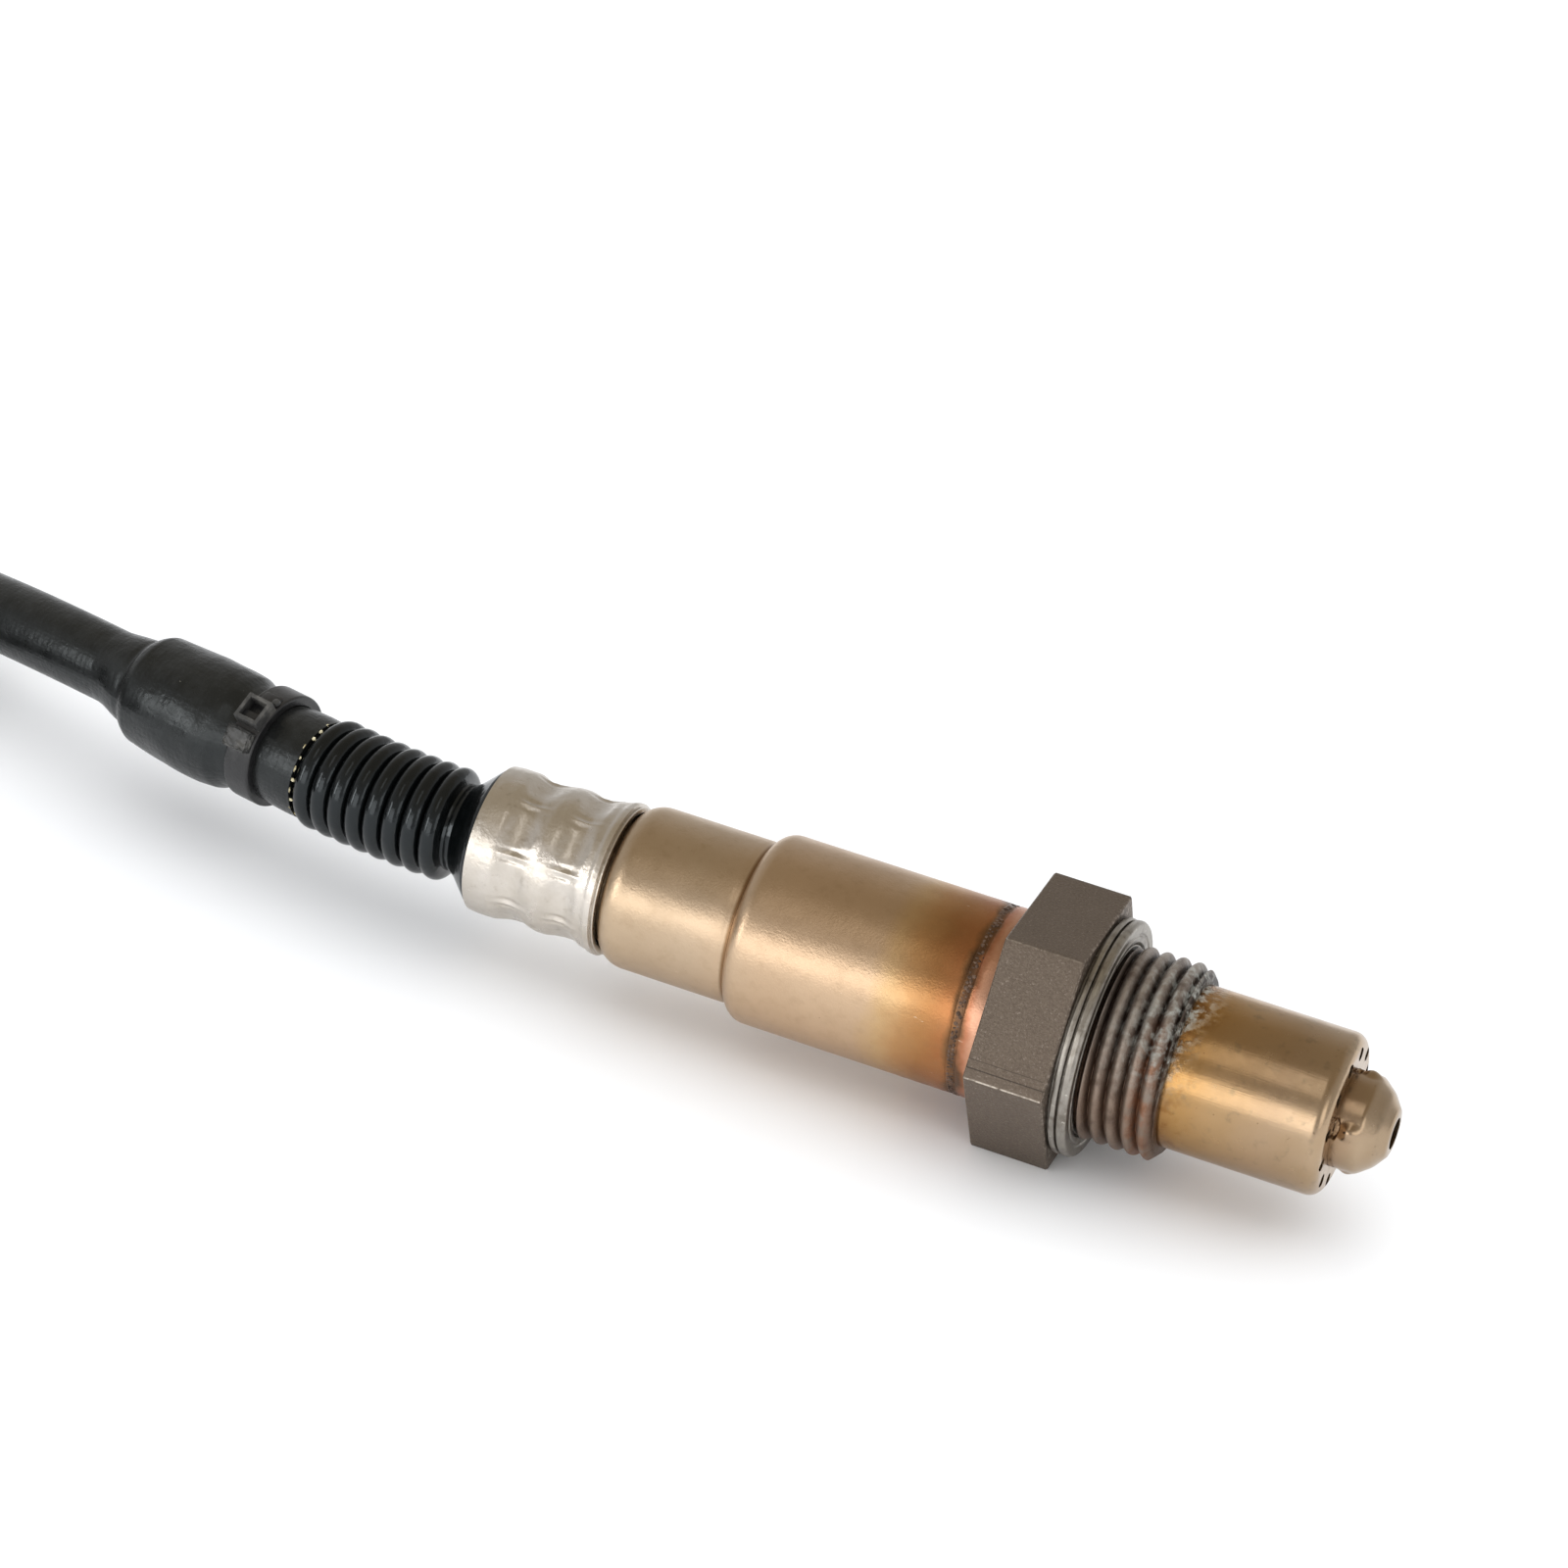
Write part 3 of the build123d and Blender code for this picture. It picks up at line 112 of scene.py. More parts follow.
# Braid: strands a way round, and the length in which a strand goes round once.
STRANDS, STRAND_LAY = 30.0, 36.0
CLOTH = "round_and_along"
LEAD_RADIUS = 3.6
LEAD_COLUMNS = 36
LEAD_HEIGHT = -7.4
COIL_CENTRE = (-164.5, -7.6)
COIL_RADIUS = 36.5
COIL_TOP = -0.1
COIL_ENTRY, COIL_EXIT = 67.0, 450.0
COIL_STEPS = 25
COIL_RISE_FROM = 15.0

# The camera's place, its turn round Z, down and about its own axis, and its lens and film width.
CAMERA_PLACE = (92.152, -381.747, 255.011)
CAMERA_TURN = (18.195, 30.84, 8.18)
CAMERA_LENS = (121.5, 36.0)

# Soft lights: name, place, the point it faces, width and height, and brightness.
SOFTBOXES = [
    ("low_softbox", (-150, -520, 108), (-110, 0, 60), (440, 236), 2.0),
    ("left_strip", (-520, -450, 150), (-90, 0, 0), (150, 280), 5.0),
    ("narrow_strip", (-50, -250, 450), (-30, 0, 0), (140, 230), 0.8),
    ("tip_softbox", (430, -330, 160), (0, 0, 0), (260, 260), 1.2),
    ("overhead_softbox", (-60, 200, 700), (-40, 0, 0), (1600, 1400), 0.8),
]
# Colour of the white tent round the sensor from the horizon up, and its even glow on matt things.
TENT = [(0.0, "#d2d2d3"), (0.4, "#c6c4c1"), (0.65, "#bcb6ae"), (0.8, "#ada28f"), (1.0, "#a69b88")]
TENT_FILL = "#e6e8ea"
FLOOR_HALF = 6.0
FLOOR_GAP = 0.02


# ---- Camera and light ----


def placed(name, data):
    """New object in the scene that shows the given data."""
    made = bpy.data.objects.new(name, data)
    bpy.context.collection.objects.link(made)
    return made


def camera():
    """Long lens that looks down on the sensor from its tip's side, a little rolled."""
    across, down, roll = (radians(angle) for angle in CAMERA_TURN)
    level = Vector((cos(across), sin(across), 0))
    back = Vector((sin(across), -cos(across), 0)) * cos(down)
    back.z = sin(down)
    raised = back.cross(level)
    right = level * cos(roll) + raised * sin(roll)
    upward = raised * cos(roll) - level * sin(roll)
    data = bpy.data.cameras.new("camera")
    data.lens, data.sensor_width = CAMERA_LENS
    eye = placed("camera", data)
    aimed = Matrix((right, upward, back)).transposed().to_4x4()
    eye.matrix_world = Matrix.Translation(Vector(CAMERA_PLACE) * MM) @ aimed
    bpy.context.scene.camera = eye


def softbox(name, place, aim, size, radiance):
    """Soft rectangular light of the given size, in mm, and brightness."""
    data = bpy.data.lights.new(name, "AREA")
    data.shape = "RECTANGLE"
    data.size, data.size_y = size[0] * MM, size[1] * MM
    data.energy = radiance * pi * data.size * data.size_y
    lamp = placed(name, data)
    lamp.location = Vector(place) * MM
    lamp.rotation_euler = (Vector(aim) - Vector(place)).to_track_quat("-Z", "Y").to_euler()
    return lamp


# ---- Node tools ----


# Colours of a mask where it hides and where it shows.
OFF, ON = "#000000", "#ffffff"


def linear(code):
    """Linear colour of an sRGB hex code."""
    parts = [int(code[place : place + 2], 16) / 255 for place in (1, 3, 5)]
    return (*[v / 12.92 if v < 0.04045 else ((v + 0.055) / 1.055) ** 2.4 for v in parts], 1.0)


def add(tree, kind, inputs=None, give=0, stops=(), **settings):
    """Node with its settings and links. An input is a value, a hex colour or a node's output."""
    node = tree.nodes.new(kind)
    for name, value in settings.items():
        setattr(node, name, value)
    if stops:
        points = node.color_ramp.elements
        points.remove(points[1])
        points[0].position, points[0].color = stops[0][0], linear(stops[0][1])
        for place, code in stops[1:]:
            points.new(place).color = linear(code)
    for name, value in (inputs or {}).items():
        socket = node.inputs[name]
        if isinstance(value, bpy.types.NodeSocket):
            tree.links.new(value, socket)
        else:
            socket.default_value = linear(value) if isinstance(value, str) else value
    return node.outputs[give] if len(node.outputs) else node


def maths(operation, *values):
    """A number made from others, the first of which is a node's output."""
    tree = values[0].id_data
    return add(tree, "ShaderNodeMath", dict(enumerate(values)), operation=operation)


def vectors(operation, *values):
    """The same for vectors; two of the operations give a number."""
    tree, give = values[0].id_data, "Value" if operation in ("LENGTH", "DOT_PRODUCT") else "Vector"
    return add(tree, "ShaderNodeVectorMath", dict(enumerate(values)), give, operation=operation)


def ranged(value, low=0.0, high=1.0, least=0.0, most=1.0):
    """From least where the value is low to most where it is high."""
    span = {"Value": value, "From Min": low, "From Max": high, "To Min": least, "To Max": most}
    return add(value.id_data, "ShaderNodeMapRange", span)


def started(name):
    """New material, and the piece's own coordinates as a node's output."""
    made = bpy.data.materials.new(name)
    made.use_nodes = True
    made.node_tree.nodes.clear()
    return made, add(made.node_tree, "ShaderNodeTexCoord", give="Object")


def surfaced(made, colour, roughness, normal=None, metallic=0.0, **others):
    """Finish a material with its surface shader's colour, gloss, relief and share of metal."""
    sockets = {"Base Color": colour, "Roughness": roughness, "Metallic": metallic}
    if normal is not None:
        sockets["Normal"] = normal
    sockets |= {name.replace("_", " "): value for name, value in others.items()}
    surface = add(made.node_tree, "ShaderNodeBsdfPrincipled", sockets)
    add(made.node_tree, "ShaderNodeOutputMaterial", {"Surface": surface})
    return made


def patches(place, size, low=0.3, high=0.7, most=1.0, least=0.0, stretch=None, detail=4.0):
    """Random patches about that many mm wide, most inside them and least between them."""
    tree = place.id_data
    if stretch:
        place = add(tree, "ShaderNodeMapping", {"Vector": place, "Scale": stretch})
    cloud = {"Vector": place, "Scale": 1 / (size * MM), "Detail": detail, "Roughness": 0.6}
    tone = add(tree, "ShaderNodeTexNoise", cloud)
    return ranged(tone, low, high, least, most)


def coated(colour, *coats):
    """Colour under coats, each given by where it shows and its own colour."""
    for shown, over in coats:
        mix = {0: shown, 6: colour, 7: over}
        colour = add(shown.id_data, "ShaderNodeMix", mix, 2, data_type="RGBA")
    return colour


def along(place, stops, sway=0.0, axis="X"):
    """Colours at places along an axis, in mm, whose borders sway by about that many mm."""
    first, last = stops[0][0], stops[-1][0]
    tree = place.id_data
    reach = add(tree, "ShaderNodeSeparateXYZ", {0: place}, axis)
    if sway:
        reach = maths("ADD", reach, patches(place, 6.0, 0.3, 0.7, sway * MM, -sway * MM))
    run = ranged(reach, first * MM, last * MM)
    places = [((at - first) / (last - first), code) for at, code in stops]
    return add(tree, "ShaderNodeValToRGB", {"Fac": run}, stops=places)


def outward(place, low, high, most=1.0):
    """From 0 at the low distance from the axis, in mm, to most at the high one."""
    away = vectors("LENGTH", vectors("MULTIPLY", place, (0, 1, 1)))
    return ranged(away, low * MM, high * MM, 0.0, most)


def facing(place, angle, low, high, most=1.0):
    """From 0 to most as the side turns to an angle round the axis; low and high are cosines."""
    unit = vectors("NORMALIZE", vectors("MULTIPLY", place, (0, 1, 1)))
    side = (0, -cos(radians(angle)), sin(radians(angle)))
    turn = vectors("DOT_PRODUCT", unit, side)
    return ranged(turn, low, high, 0.0, most)


def relief(*marks):
    """Normals for marks, each a height from 0 to 1 and its depth in mm."""
    normal = None
    for height, depth in marks:
        inputs = {"Height": height, "Distance": depth * MM}
        if normal is not None:
            inputs["Normal"] = normal
        normal = add(height.id_data, "ShaderNodeBump", inputs)
    return normal


# ---- Materials ----


def tinted_sleeve_steel():
    """Stainless steel, deep drawn, blasted and welded: satin bronze, copper by the weld."""
    made, place = started("heat_tinted_sleeve_steel")
    tint = [
        (-47.0, "#c2ac91"), (-38.0, "#c2ac92"), (-30.0, "#c6ab8e"), (-20.8, "#c5a98b"),
        (-18.8, "#c6a57a"), (-17.0, "#ba8f61"), (-15.0, "#a97a4d"), (-12.7, "#aa7349"),
        (-12.2, "#7d5a3c"), (-11.9, "#684e3b"), (-11.5, "#684e3b"), (-11.2, "#906447"),
        (-10.9, "#b4795b"), (-10.3, "#cd9b7f"), (-9.3, "#af8771"),
    ]
    colour = along(place, tint, 0.7)
    # A blasted grain of 0.05 mm is drawn 0.2 mm wide, so that it shows.
    grain = patches(place, 0.2, detail=2.0)
    near_weld = [(-20.0, OFF), (-14.0, "#7a7a7a"), (-12.8, "#9a9a9a"), (-12.4, OFF)]
    copper_spots = patches(place, 3.2, 0.45, 0.7, along(place, near_weld))
    colour = coated(
        colour,
        (patches(place, 9.0, 0.4, 0.8, 0.2, detail=2.0), "#96795a"),
        (copper_spots, "#8a4f2a"),
        (patches(place, 1.0, 0.5, 0.8, 0.2, detail=6.0), "#8b7050"),
        (patches(place, 0.42, 0.72, 0.76, 0.75), "#4b3626"),
        (patches(place, 0.5, 0.72, 0.76, 0.8, stretch=(0.25, 1.0, 1.0)), "#ecd9bf"),
    )
    # A thin dark line in the crease at the step's foot is painted shade.
    crease = along(place, [(-34.5, OFF), (-34.25, ON), (-34.05, ON), (-33.85, OFF)])
    colour = coated(colour, (crease, "#86694c"))
    rough = patches(place, 3.0, 0.3, 0.7, 0.38, 0.30)
    normal = relief((grain, 0.008), (patches(place, 5.0), 0.03))
    return surfaced(made, colour, rough, normal, 1.0)


def weld_bead_steel():
    """Melted steel, left rough: dark grey-brown pebbles."""
    made, place = started("scaled_weld_steel")
    colour = coated("#4c3b30", (patches(place, 0.7, 0.4, 0.65), "#80695a"))
    return surfaced(made, colour, 0.58, metallic=0.7)


def housing_steel():
    """Milled and turned steel: matt grey-brown hexagon, worn edges with painted highlight, oily
    thread with paste.
    """
    made, place = started("oxidised_housing_steel")
    # The milled grain of 0.1 mm is drawn 0.22 mm wide, so that it shows.
    grit = patches(place, 0.22, detail=3.0)
    ends = [(-9.25, ON), (-9.0, OFF), (-2.15, OFF), (-1.9, ON)]
    worn_ends = patches(place, 0.4, 0.5, 0.65, along(place, ends))
    # Hexagon corners: pale lines, partly wear and partly painted highlight, brightest facing -Y.
    low_edge = facing(place, 0.0, 0.97, 0.99)
    scratches = [(0.80, OFF), (0.88, ON), (0.96, OFF), (1.5, OFF), (1.56, "#cccccc"), (1.62, OFF)]
    edge_wear_and_highlight = patches(place, 0.6, 0.42, 0.6, outward(place, 12.6, 12.67, 0.45))
    low_edge_painted_highlight = outward(place, 12.61, 12.66, low_edge)
    hexagon = coated(
        "#62564c",
        (patches(place, 2.6, 0.35, 0.7, 0.4), "#54493f"),
        (grit, "#706458"),
        (patches(place, 0.2, 0.6, 0.72, 0.55, detail=2.0), "#978b80"),
        (along(place, scratches, axis="Z"), "#3d352f"),
        (edge_wear_and_highlight, "#a89c8e"),
        (patches(place, 0.8, 0.38, 0.55, low_edge_painted_highlight), "#d8cec0"),
        (worn_ends, "#9a8e82"),
    )
    # Streaks that break up the painted highlight on the thread's crests.
    crest_highlight_streaks = patches(place, 0.8, 0.3, 0.62, stretch=(1.0, 0.35, 0.35))
    copper = [(4.3, OFF), (5.2, ON), (6.4, ON), (7.0, OFF)]
    low_side = facing(place, -20.0, 0.15, 0.7, along(place, copper))
    run = along(place, [(0.8, OFF), (2.6, "#8a8a8a"), (5.2, "#d0d0d0"), (7.2, ON)], 0.8)
    on_top = facing(place, PASTE_ANGLE, 0.35, 0.85, run)
    paste = patches(place, 0.9, 0.45, 0.6, on_top, detail=6.0)
    patches_of_paste = coated("#a9aba4", (patches(place, 0.6, 0.4, 0.65), "#7f7a71"))
    # Thread: painted shade in its roots, lighter flanks and a painted highlight on its crests.
    thread = coated(
        "#2b211a",
        (outward(place, 8.3, 8.65), "#74685f"),
        (outward(place, 8.7, 8.98, crest_highlight_streaks), "#958b81"),
        # The thread's lower side, facing -Y and down, is painted lighter brown: a painted
        # reflection.
        (facing(place, -35.0, 0.2, 0.9, 0.55), "#7b604c"),
        (patches(place, 1.6, 0.4, 0.7, low_side), "#95603e"),
        (patches(place, 1.6, 0.5, 0.7, 0.6), "#4a3a2f"),
        (paste, patches_of_paste),
    )
    threaded = along(place, [(-1.0, OFF), (-0.9, ON)])
    thread_rough = patches(place, 0.5, 0.3, 0.7, 0.52, 0.36)
    rough = add(place.id_data, "ShaderNodeMix", {0: threaded, 2: 0.52, 3: thread_rough})
    normal = relief((grit, 0.022), (paste, 0.05))
    metal = ranged(paste, least=0.72, most=0.1)
    return surfaced(made, coated(hexagon, (threaded, thread)), rough, normal, metal)


def gasket_steel():
    """Folded stainless sheet: satin steel grey with fine scratches and grime in its folds."""
    made, place = started("folded_gasket_steel")
    marks = patches(place, 0.3, stretch=(1.0, 0.25, 0.25))
    colour = coated(
        "#aaa59c",
        (marks, "#8d8780"),
        (patches(place, 1.4, 0.52, 0.66, 0.7), "#6f675e"),
        (patches(place, 0.5, 0.66, 0.7, 0.7), "#e4e0d8"),
    )
    return surfaced(made, colour, 0.4, relief((marks, 0.012)), 1.0)


HOT_STRAW = [
    (7.2, "#9b7244"), (9.0, "#ad8654"), (12.0, "#af8f68"), (17.0, "#ab9174"), (22.0, "#b19a7f"),
]
PALE_STRAW = [
    (10.0, "#93795f"), (21.5, "#93795f"), (22.5, "#a58c72"), (24.5, "#ad977d"), (26.5, "#a38e75"),
]


def probe_steel(name, stops, stained):
    """Drawn stainless cup, glossy satin: straw where it ran hot, with brown stains and specks."""
    made, place = started(name)
    # Drawing marks of 0.03 mm are drawn 0.14 mm wide, so that they show.
    marks = patches(place, 0.14, stretch=(0.05, 1.0, 1.0), detail=3.0)
    hot_end = along(place, [(7.2, ON), (8.4, "#c0c0c0"), (10.6, OFF)], 0.9)
    paste_end = along(place, [(7.2, ON), (8.4, "#a0a0a0"), (9.8, OFF)], 0.9)
    on_top = facing(place, PASTE_ANGLE, 0.3, 0.85, paste_end)
    paste = patches(place, 0.8, 0.45, 0.58, on_top, detail=6.0)
    colour = coated(
        along(place, stops, 0.9),
        (patches(place, 5.0, 0.45, 0.8, 0.3, detail=2.0), "#94784f"),
        (patches(place, 1.0, 0.5, 0.6, hot_end), "#8a6136"),
        (patches(place, 1.3, 0.58, 0.7, stained), "#6e6654"),
        (patches(place, 0.45, 0.69, 0.73, 0.8), "#5a4330"),
        (paste, coated("#aaa79c", (patches(place, 0.6, 0.4, 0.65), "#837a6c"))),
    )
    rough = patches(place, 1.2, 0.3, 0.7, 0.28, 0.19)
    normal = relief((marks, 0.003), (paste, 0.05))
    return surfaced(made, colour, rough, normal, ranged(paste, least=1.0, most=0.2))


def plated_cap():
    """Thin steel, pressed and nickel plated: warm silver, softly bright, with yellowed stains."""
    made, place = started("nickel_plated_cap")
    colour = coated(
        "#d3ccc3",
        (patches(place, 3.0, 0.4, 0.8, 0.5), "#b5ab9a"),
        (patches(place, 0.9, 0.58, 0.75, 0.4), "#978c78"),
        (patches(place, 0.35, 0.72, 0.76, 0.6), "#6b6253"),
    )
    rough = patches(place, 1.5, 0.3, 0.7, 0.38, 0.26)
    dents, grain = patches(place, 1.2), patches(place, 0.2)
    return surfaced(made, colour, rough, relief((dents, 0.035), (grain, 0.004)), 1.0)


def moulded_rubber():
    """Rubber from a polished mould: near black and glossy, with dull marks and dust."""
    made, place = started("moulded_black_rubber")
    colour = coated(
        "#07090a",
        (patches(place, 1.2, 0.55, 0.75, 0.6), "#121415"),
        (patches(place, 0.35, 0.77, 0.8, 0.7), "#b8a884"),
    )
    rough = patches(place, 0.9, 0.35, 0.75, 0.20, 0.10)
    normal = relief((patches(place, 2.0), 0.03))
    # The cool tint on its reflections is painted light, in place of the lamps' colour.
    return surfaced(made, colour, rough, normal, Specular_Tint="#dde6ea")


def moulded_silicone():
    """Silicone, moulded: brick red, soft satin."""
    made, place = started("moulded_red_silicone")
    colour = coated("#7a2f20", (patches(place, 1.5), "#8c3d2b"))
    grain = relief((patches(place, 0.5), 0.015))
    return surfaced(made, colour, 0.45, grain)


def coated_braid():
    """Glass-fibre braid with a rubbery coat: satin charcoal, mottled, the braid faint under it."""
    made, place = started("coated_glass_braid")
    cloth = add(place.id_data, "ShaderNodeUVMap", uv_map=CLOTH)
    slants = []
    for way in (1, -1):
        across = vectors("DOT_PRODUCT", cloth, (STRANDS, way * STRANDS / STRAND_LAY, 0.0))
        turn = maths("MULTIPLY", across, 2 * pi)
        slants.append(maths("SINE", turn))
    weave = maths("MULTIPLY", slants[0], slants[1])
    raised = ranged(weave, -1.0)
    rubbed = patches(place, 2.2, 0.42, 0.72, 0.8)
    colour = coated(
        "#0e0f0f",
        (patches(place, 5.0, 0.35, 0.7, 0.7), "#161717"),
        (rubbed, "#1f2020"),
        (patches(place, 0.4, 0.64, 0.76, 0.4), "#363735"),
        (patches(place, 0.3, 0.75, 0.78, 0.8), "#a19c8e"),
    )
    rough = patches(place, 1.4, 0.3, 0.7, 0.36, 0.24)
    waves, grain = patches(place, 1.6), patches(place, 0.3)
    normal = relief((raised, 0.008), (waves, 0.04), (grain, 0.005))
    # The cool tint on its reflections is painted light, in place of the lamps' colour.
    return surfaced(made, colour, rough, normal, Specular_Tint="#dfe6e8")


def glass_fibre():
    """Glass fibre, cut and frayed: cream ends between dark ones."""
    made, place = started("cut_glass_fibre")
    colour = coated("#e6dcb8", (patches(place, 0.9, 0.45, 0.6), "#a3956c"))
    return surfaced(made, colour, 0.7)


def nylon(name, code, worn, roughness=0.4):
    """Nylon, moulded: even colour and satin, with the mould's fine grain and rubbed spots."""
    made, place = started(name)
    grain = patches(place, 0.3, detail=3.0)
    colour = coated(code, (patches(place, 1.6, 0.5, 0.75, 0.6), worn))
    rough = patches(place, 4.0, 0.3, 0.7, roughness + 0.07, roughness - 0.07)
    return surfaced(made, colour, rough, relief((grain, 0.01)))


def fired_ceramic():
    """Steatite and alumina, pressed and fired: chalky white, slightly speckled."""
    made, place = started("fired_white_ceramic")
    colour = coated("#efebe0", (patches(place, 0.8, 0.35, 0.7), "#dcd6c7"))
    return surfaced(made, colour, 0.6, IOR=1.6)


def pressed_talc():
    """Talc powder, pressed hard: dull grey-white with a crumbly face."""
    made, place = started("pressed_talc")
    crumbs = patches(place, 0.4)
    colour = coated("#d6d3c8", (crumbs, "#bfbbae"))
    return surfaced(made, colour, 0.85, relief((crumbs, 0.04)))


def rolled_metal(name, code, streak, roughness):
    """Sheet, rolled and stamped: even colour with rolling marks."""
    made, place = started(name)
    marks = patches(place, 0.3, stretch=(0.2, 1.0, 1.0))
    colour = coated(code, (marks, streak))
    return surfaced(made, colour, roughness, relief((marks, 0.006)), 1.0)


def studio_paper():
    """Paper, calendered: matt white with hardly any tone."""
    made, place = started("studio_paper")
    colour = coated("#f4f4f5", (patches(place, 60.0), "#f8f8f8"))
    return surfaced(made, colour, 0.95, Specular_IOR_Level=0.1)


# ---- Mesh tools ----


def outline(corners, step=0.6):
    """Closed section from (station, radius, rounding) corners, its runs divided by step."""
    points = []
    for index, (x, r, rounding) in enumerate(corners):
        here = Vector((x, r))
        if not rounding:
            points.append(here)
            continue
        before = Vector(corners[index - 1][:2]) - here
        after = Vector(corners[(index + 1) % len(corners)][:2]) - here
        half = before.angle(after) / 2
        cut = min(rounding / tan(half), 0.49 * before.length, 0.49 * after.length)
        start, end = here + before.normalized() * cut, here + after.normalized() * cut
        for part in range(7):
            t = part / 6
            points.append(start * (1 - t) ** 2 + here * 2 * t * (1 - t) + end * t**2)
    divided = []
    for a, b in zip(points, points[1:] + points[:1]):
        pieces = max(1, round((b - a).length / step))
        divided += [a.lerp(b, part / pieces) for part in range(pieces)]
    return divided


def faired(x, stops, width):
    """Radius at a station, on straight runs between stops, their corners eased over a width."""
    stations, radii = np.array(sorted(stops)).T
    fine = np.arange(stations[0] - width, stations[-1] + width, 0.02)
    table = np.interp(fine, stations, radii)
    weights = np.hanning(int(width / 0.02) | 1)
    padded = np.pad(table, len(weights) // 2, mode="edge")
    return np.interp(x, fine, np.convolve(padded, weights / weights.sum(), mode="valid"))


def turns_of(columns):
    """Angles of the columns of a ring, as an upright array."""
    return np.linspace(0, 2 * pi, columns, endpoint=False)[:, None]


def turned(x, r, angle):
    """Points at stations and radii, turned about X by an angle."""
    return np.stack([x, -r * np.cos(angle), r * np.sin(angle)], axis=-1)


def ring_faces(columns, rows):
    """Four-sided faces between the points of a ring, closed both ways."""
    grid = np.arange(columns * rows).reshape(columns, rows)
    ahead = np.roll(grid, -1, axis=0)
    corners = [grid, np.roll(grid, -1, axis=1), np.roll(ahead, -1, axis=1), ahead]
    return np.stack(corners, axis=-1).reshape(-1, 4).tolist()


def lathe(name, section, columns=180, shape=None, place=None):
    """Closed ring-shaped mesh: a section turned about X, then shaped and placed."""
    section = [Vector(point) for point in section]
    x, r = np.array(section).T
    angle = turns_of(columns)
    x, r = np.broadcast_to(x, (columns, len(x))), np.broadcast_to(r, (columns, len(r)))
    if shape:
        x, r = shape(x, r, angle)
    points = turned(x, r, angle)
    if place:
        points = place(points)
    rows = len(section)
    gaps = [(b - a).length for a, b in zip(section, section[1:] + section[:1])]
    run = np.concatenate([[0], np.cumsum(gaps)])
    u = np.arange(columns)[:, None] / columns + np.zeros(rows)
    v = np.zeros((columns, 1)) + run[:-1]
    v_next = np.zeros((columns, 1)) + run[1:]
    one = 1 / columns
    uvs = np.stack([u, v, u, v_next, u + one, v_next, u + one, v], axis=-1).reshape(-1, 2)
    return mesh_object(name, points.reshape(-1, 3), ring_faces(columns, rows), uvs)


def mesh_object(name, points, faces, uvs=None, sharp=32.0):
    """Object at the origin from points in mm, welded and shaded smooth up to a sharp angle."""
    mesh = bpy.data.meshes.new(name)
    mesh.from_pydata((np.asarray(points) * MM).tolist(), [], faces)
    if uvs is not None:
        layer = mesh.uv_layers.new(name=CLOTH)
        layer.data.foreach_set("uv", np.asarray(uvs, dtype=np.float32).ravel())
    work = bmesh.new()
    work.from_mesh(mesh)
    bmesh.ops.remove_doubles(work, verts=work.verts, dist=1e-6)
    bmesh.ops.dissolve_degenerate(work, edges=work.edges, dist=1e-7)
    bmesh.ops.recalc_face_normals(work, faces=work.faces)
    work.to_mesh(mesh)
    work.free()
    mesh.shade_smooth()
    mesh.set_sharp_from_angle(angle=radians(sharp))
    return placed(name, mesh)


def evaluated(carrier):
    """Mesh that an object's curve or modifiers give."""
    graph = bpy.context.evaluated_depsgraph_get()
    return bpy.data.meshes.new_from_object(carrier.evaluated_get(graph))


def on_bend(points):
    """Points of the straight axis moved onto the bent one, behind where the bend starts."""
    length = BEND_ANGLE * BEND_RADIUS
    behind = BEND_START - points[..., 0]
    turn = BEND_ANGLE * np.clip(behind / length, 0, 1)
    straight = np.maximum(behind - length, 0)
    ahead = np.maximum(-behind, 0)
    x = BEND_START + ahead - BEND_RADIUS * np.sin(turn) - straight * np.cos(turn)
    y = BEND_RADIUS * (1 - np.cos(turn)) + straight * np.sin(turn)
    side = points[..., 1]
    return np.stack([x + side * np.sin(turn), y + side * np.cos(turn), points[..., 2]], axis=-1)


def on_boot(points):
    """The same for stations counted from the braided sleeve's mouth."""
    return on_bend(points + np.array([BEND_START - MOUTH_FROM_BEND, 0, 0]))


def finished(piece, surface, *nodes):
    """Give a piece its material, let it stand for CAD nodes and ride on the sensor."""
    piece.data.materials.clear()
    piece.data.materials.append(surface)
    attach(piece, "root")
    if nodes:
        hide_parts(*nodes)


# ---- Housing ----


def thread_radius(x, angle):
    """Radius of the right-handed thread, round at its crests and faded out at both ends."""
    turns = (x - CREST_STATION) / THREAD_PITCH + angle / (2 * pi)
    away = np.abs(turns - np.round(turns)) * THREAD_PITCH
    radius = THREAD_CREST - THREAD_DEPTH * np.clip(away / RIDGE_HALF, 0, 1) ** RIDGE_SQUARE
    radius = np.minimum(radius, THREAD_ROOT + THREAD_RUN_IN * np.maximum(x, 0))
    return np.minimum(radius, THREAD_ROOT + THREAD_RUN_OUT * (THREAD_FRONT - x))


def housing_shape(x, r, angle):
    """Turned blank, cut to the hexagon's flats and threaded in front."""
    off_flat = np.mod(angle - radians(30) + pi / 6, pi / 3) - pi / 6
    from_face = np.minimum(HEX_FRONT - x, x - HEX_REAR)
    flats = np.minimum(HEX_FLAT / np.cos(off_flat), HEX_CORNER - HEX_BLUNT)
    flats = flats - np.maximum(HEX_EDGE - from_face, 0)
    on_hexagon = (x < HEX_FRONT + 0.01) & (x > HEX_REAR - 0.01) & (r > 8.3)
    on_thread = (x >= 0) & (x <= THREAD_FRONT) & (r > 7.5)
    r = np.where(on_hexagon, np.minimum(r, flats), r)
    return x, np.where(on_thread, thread_radius(x, angle), r)


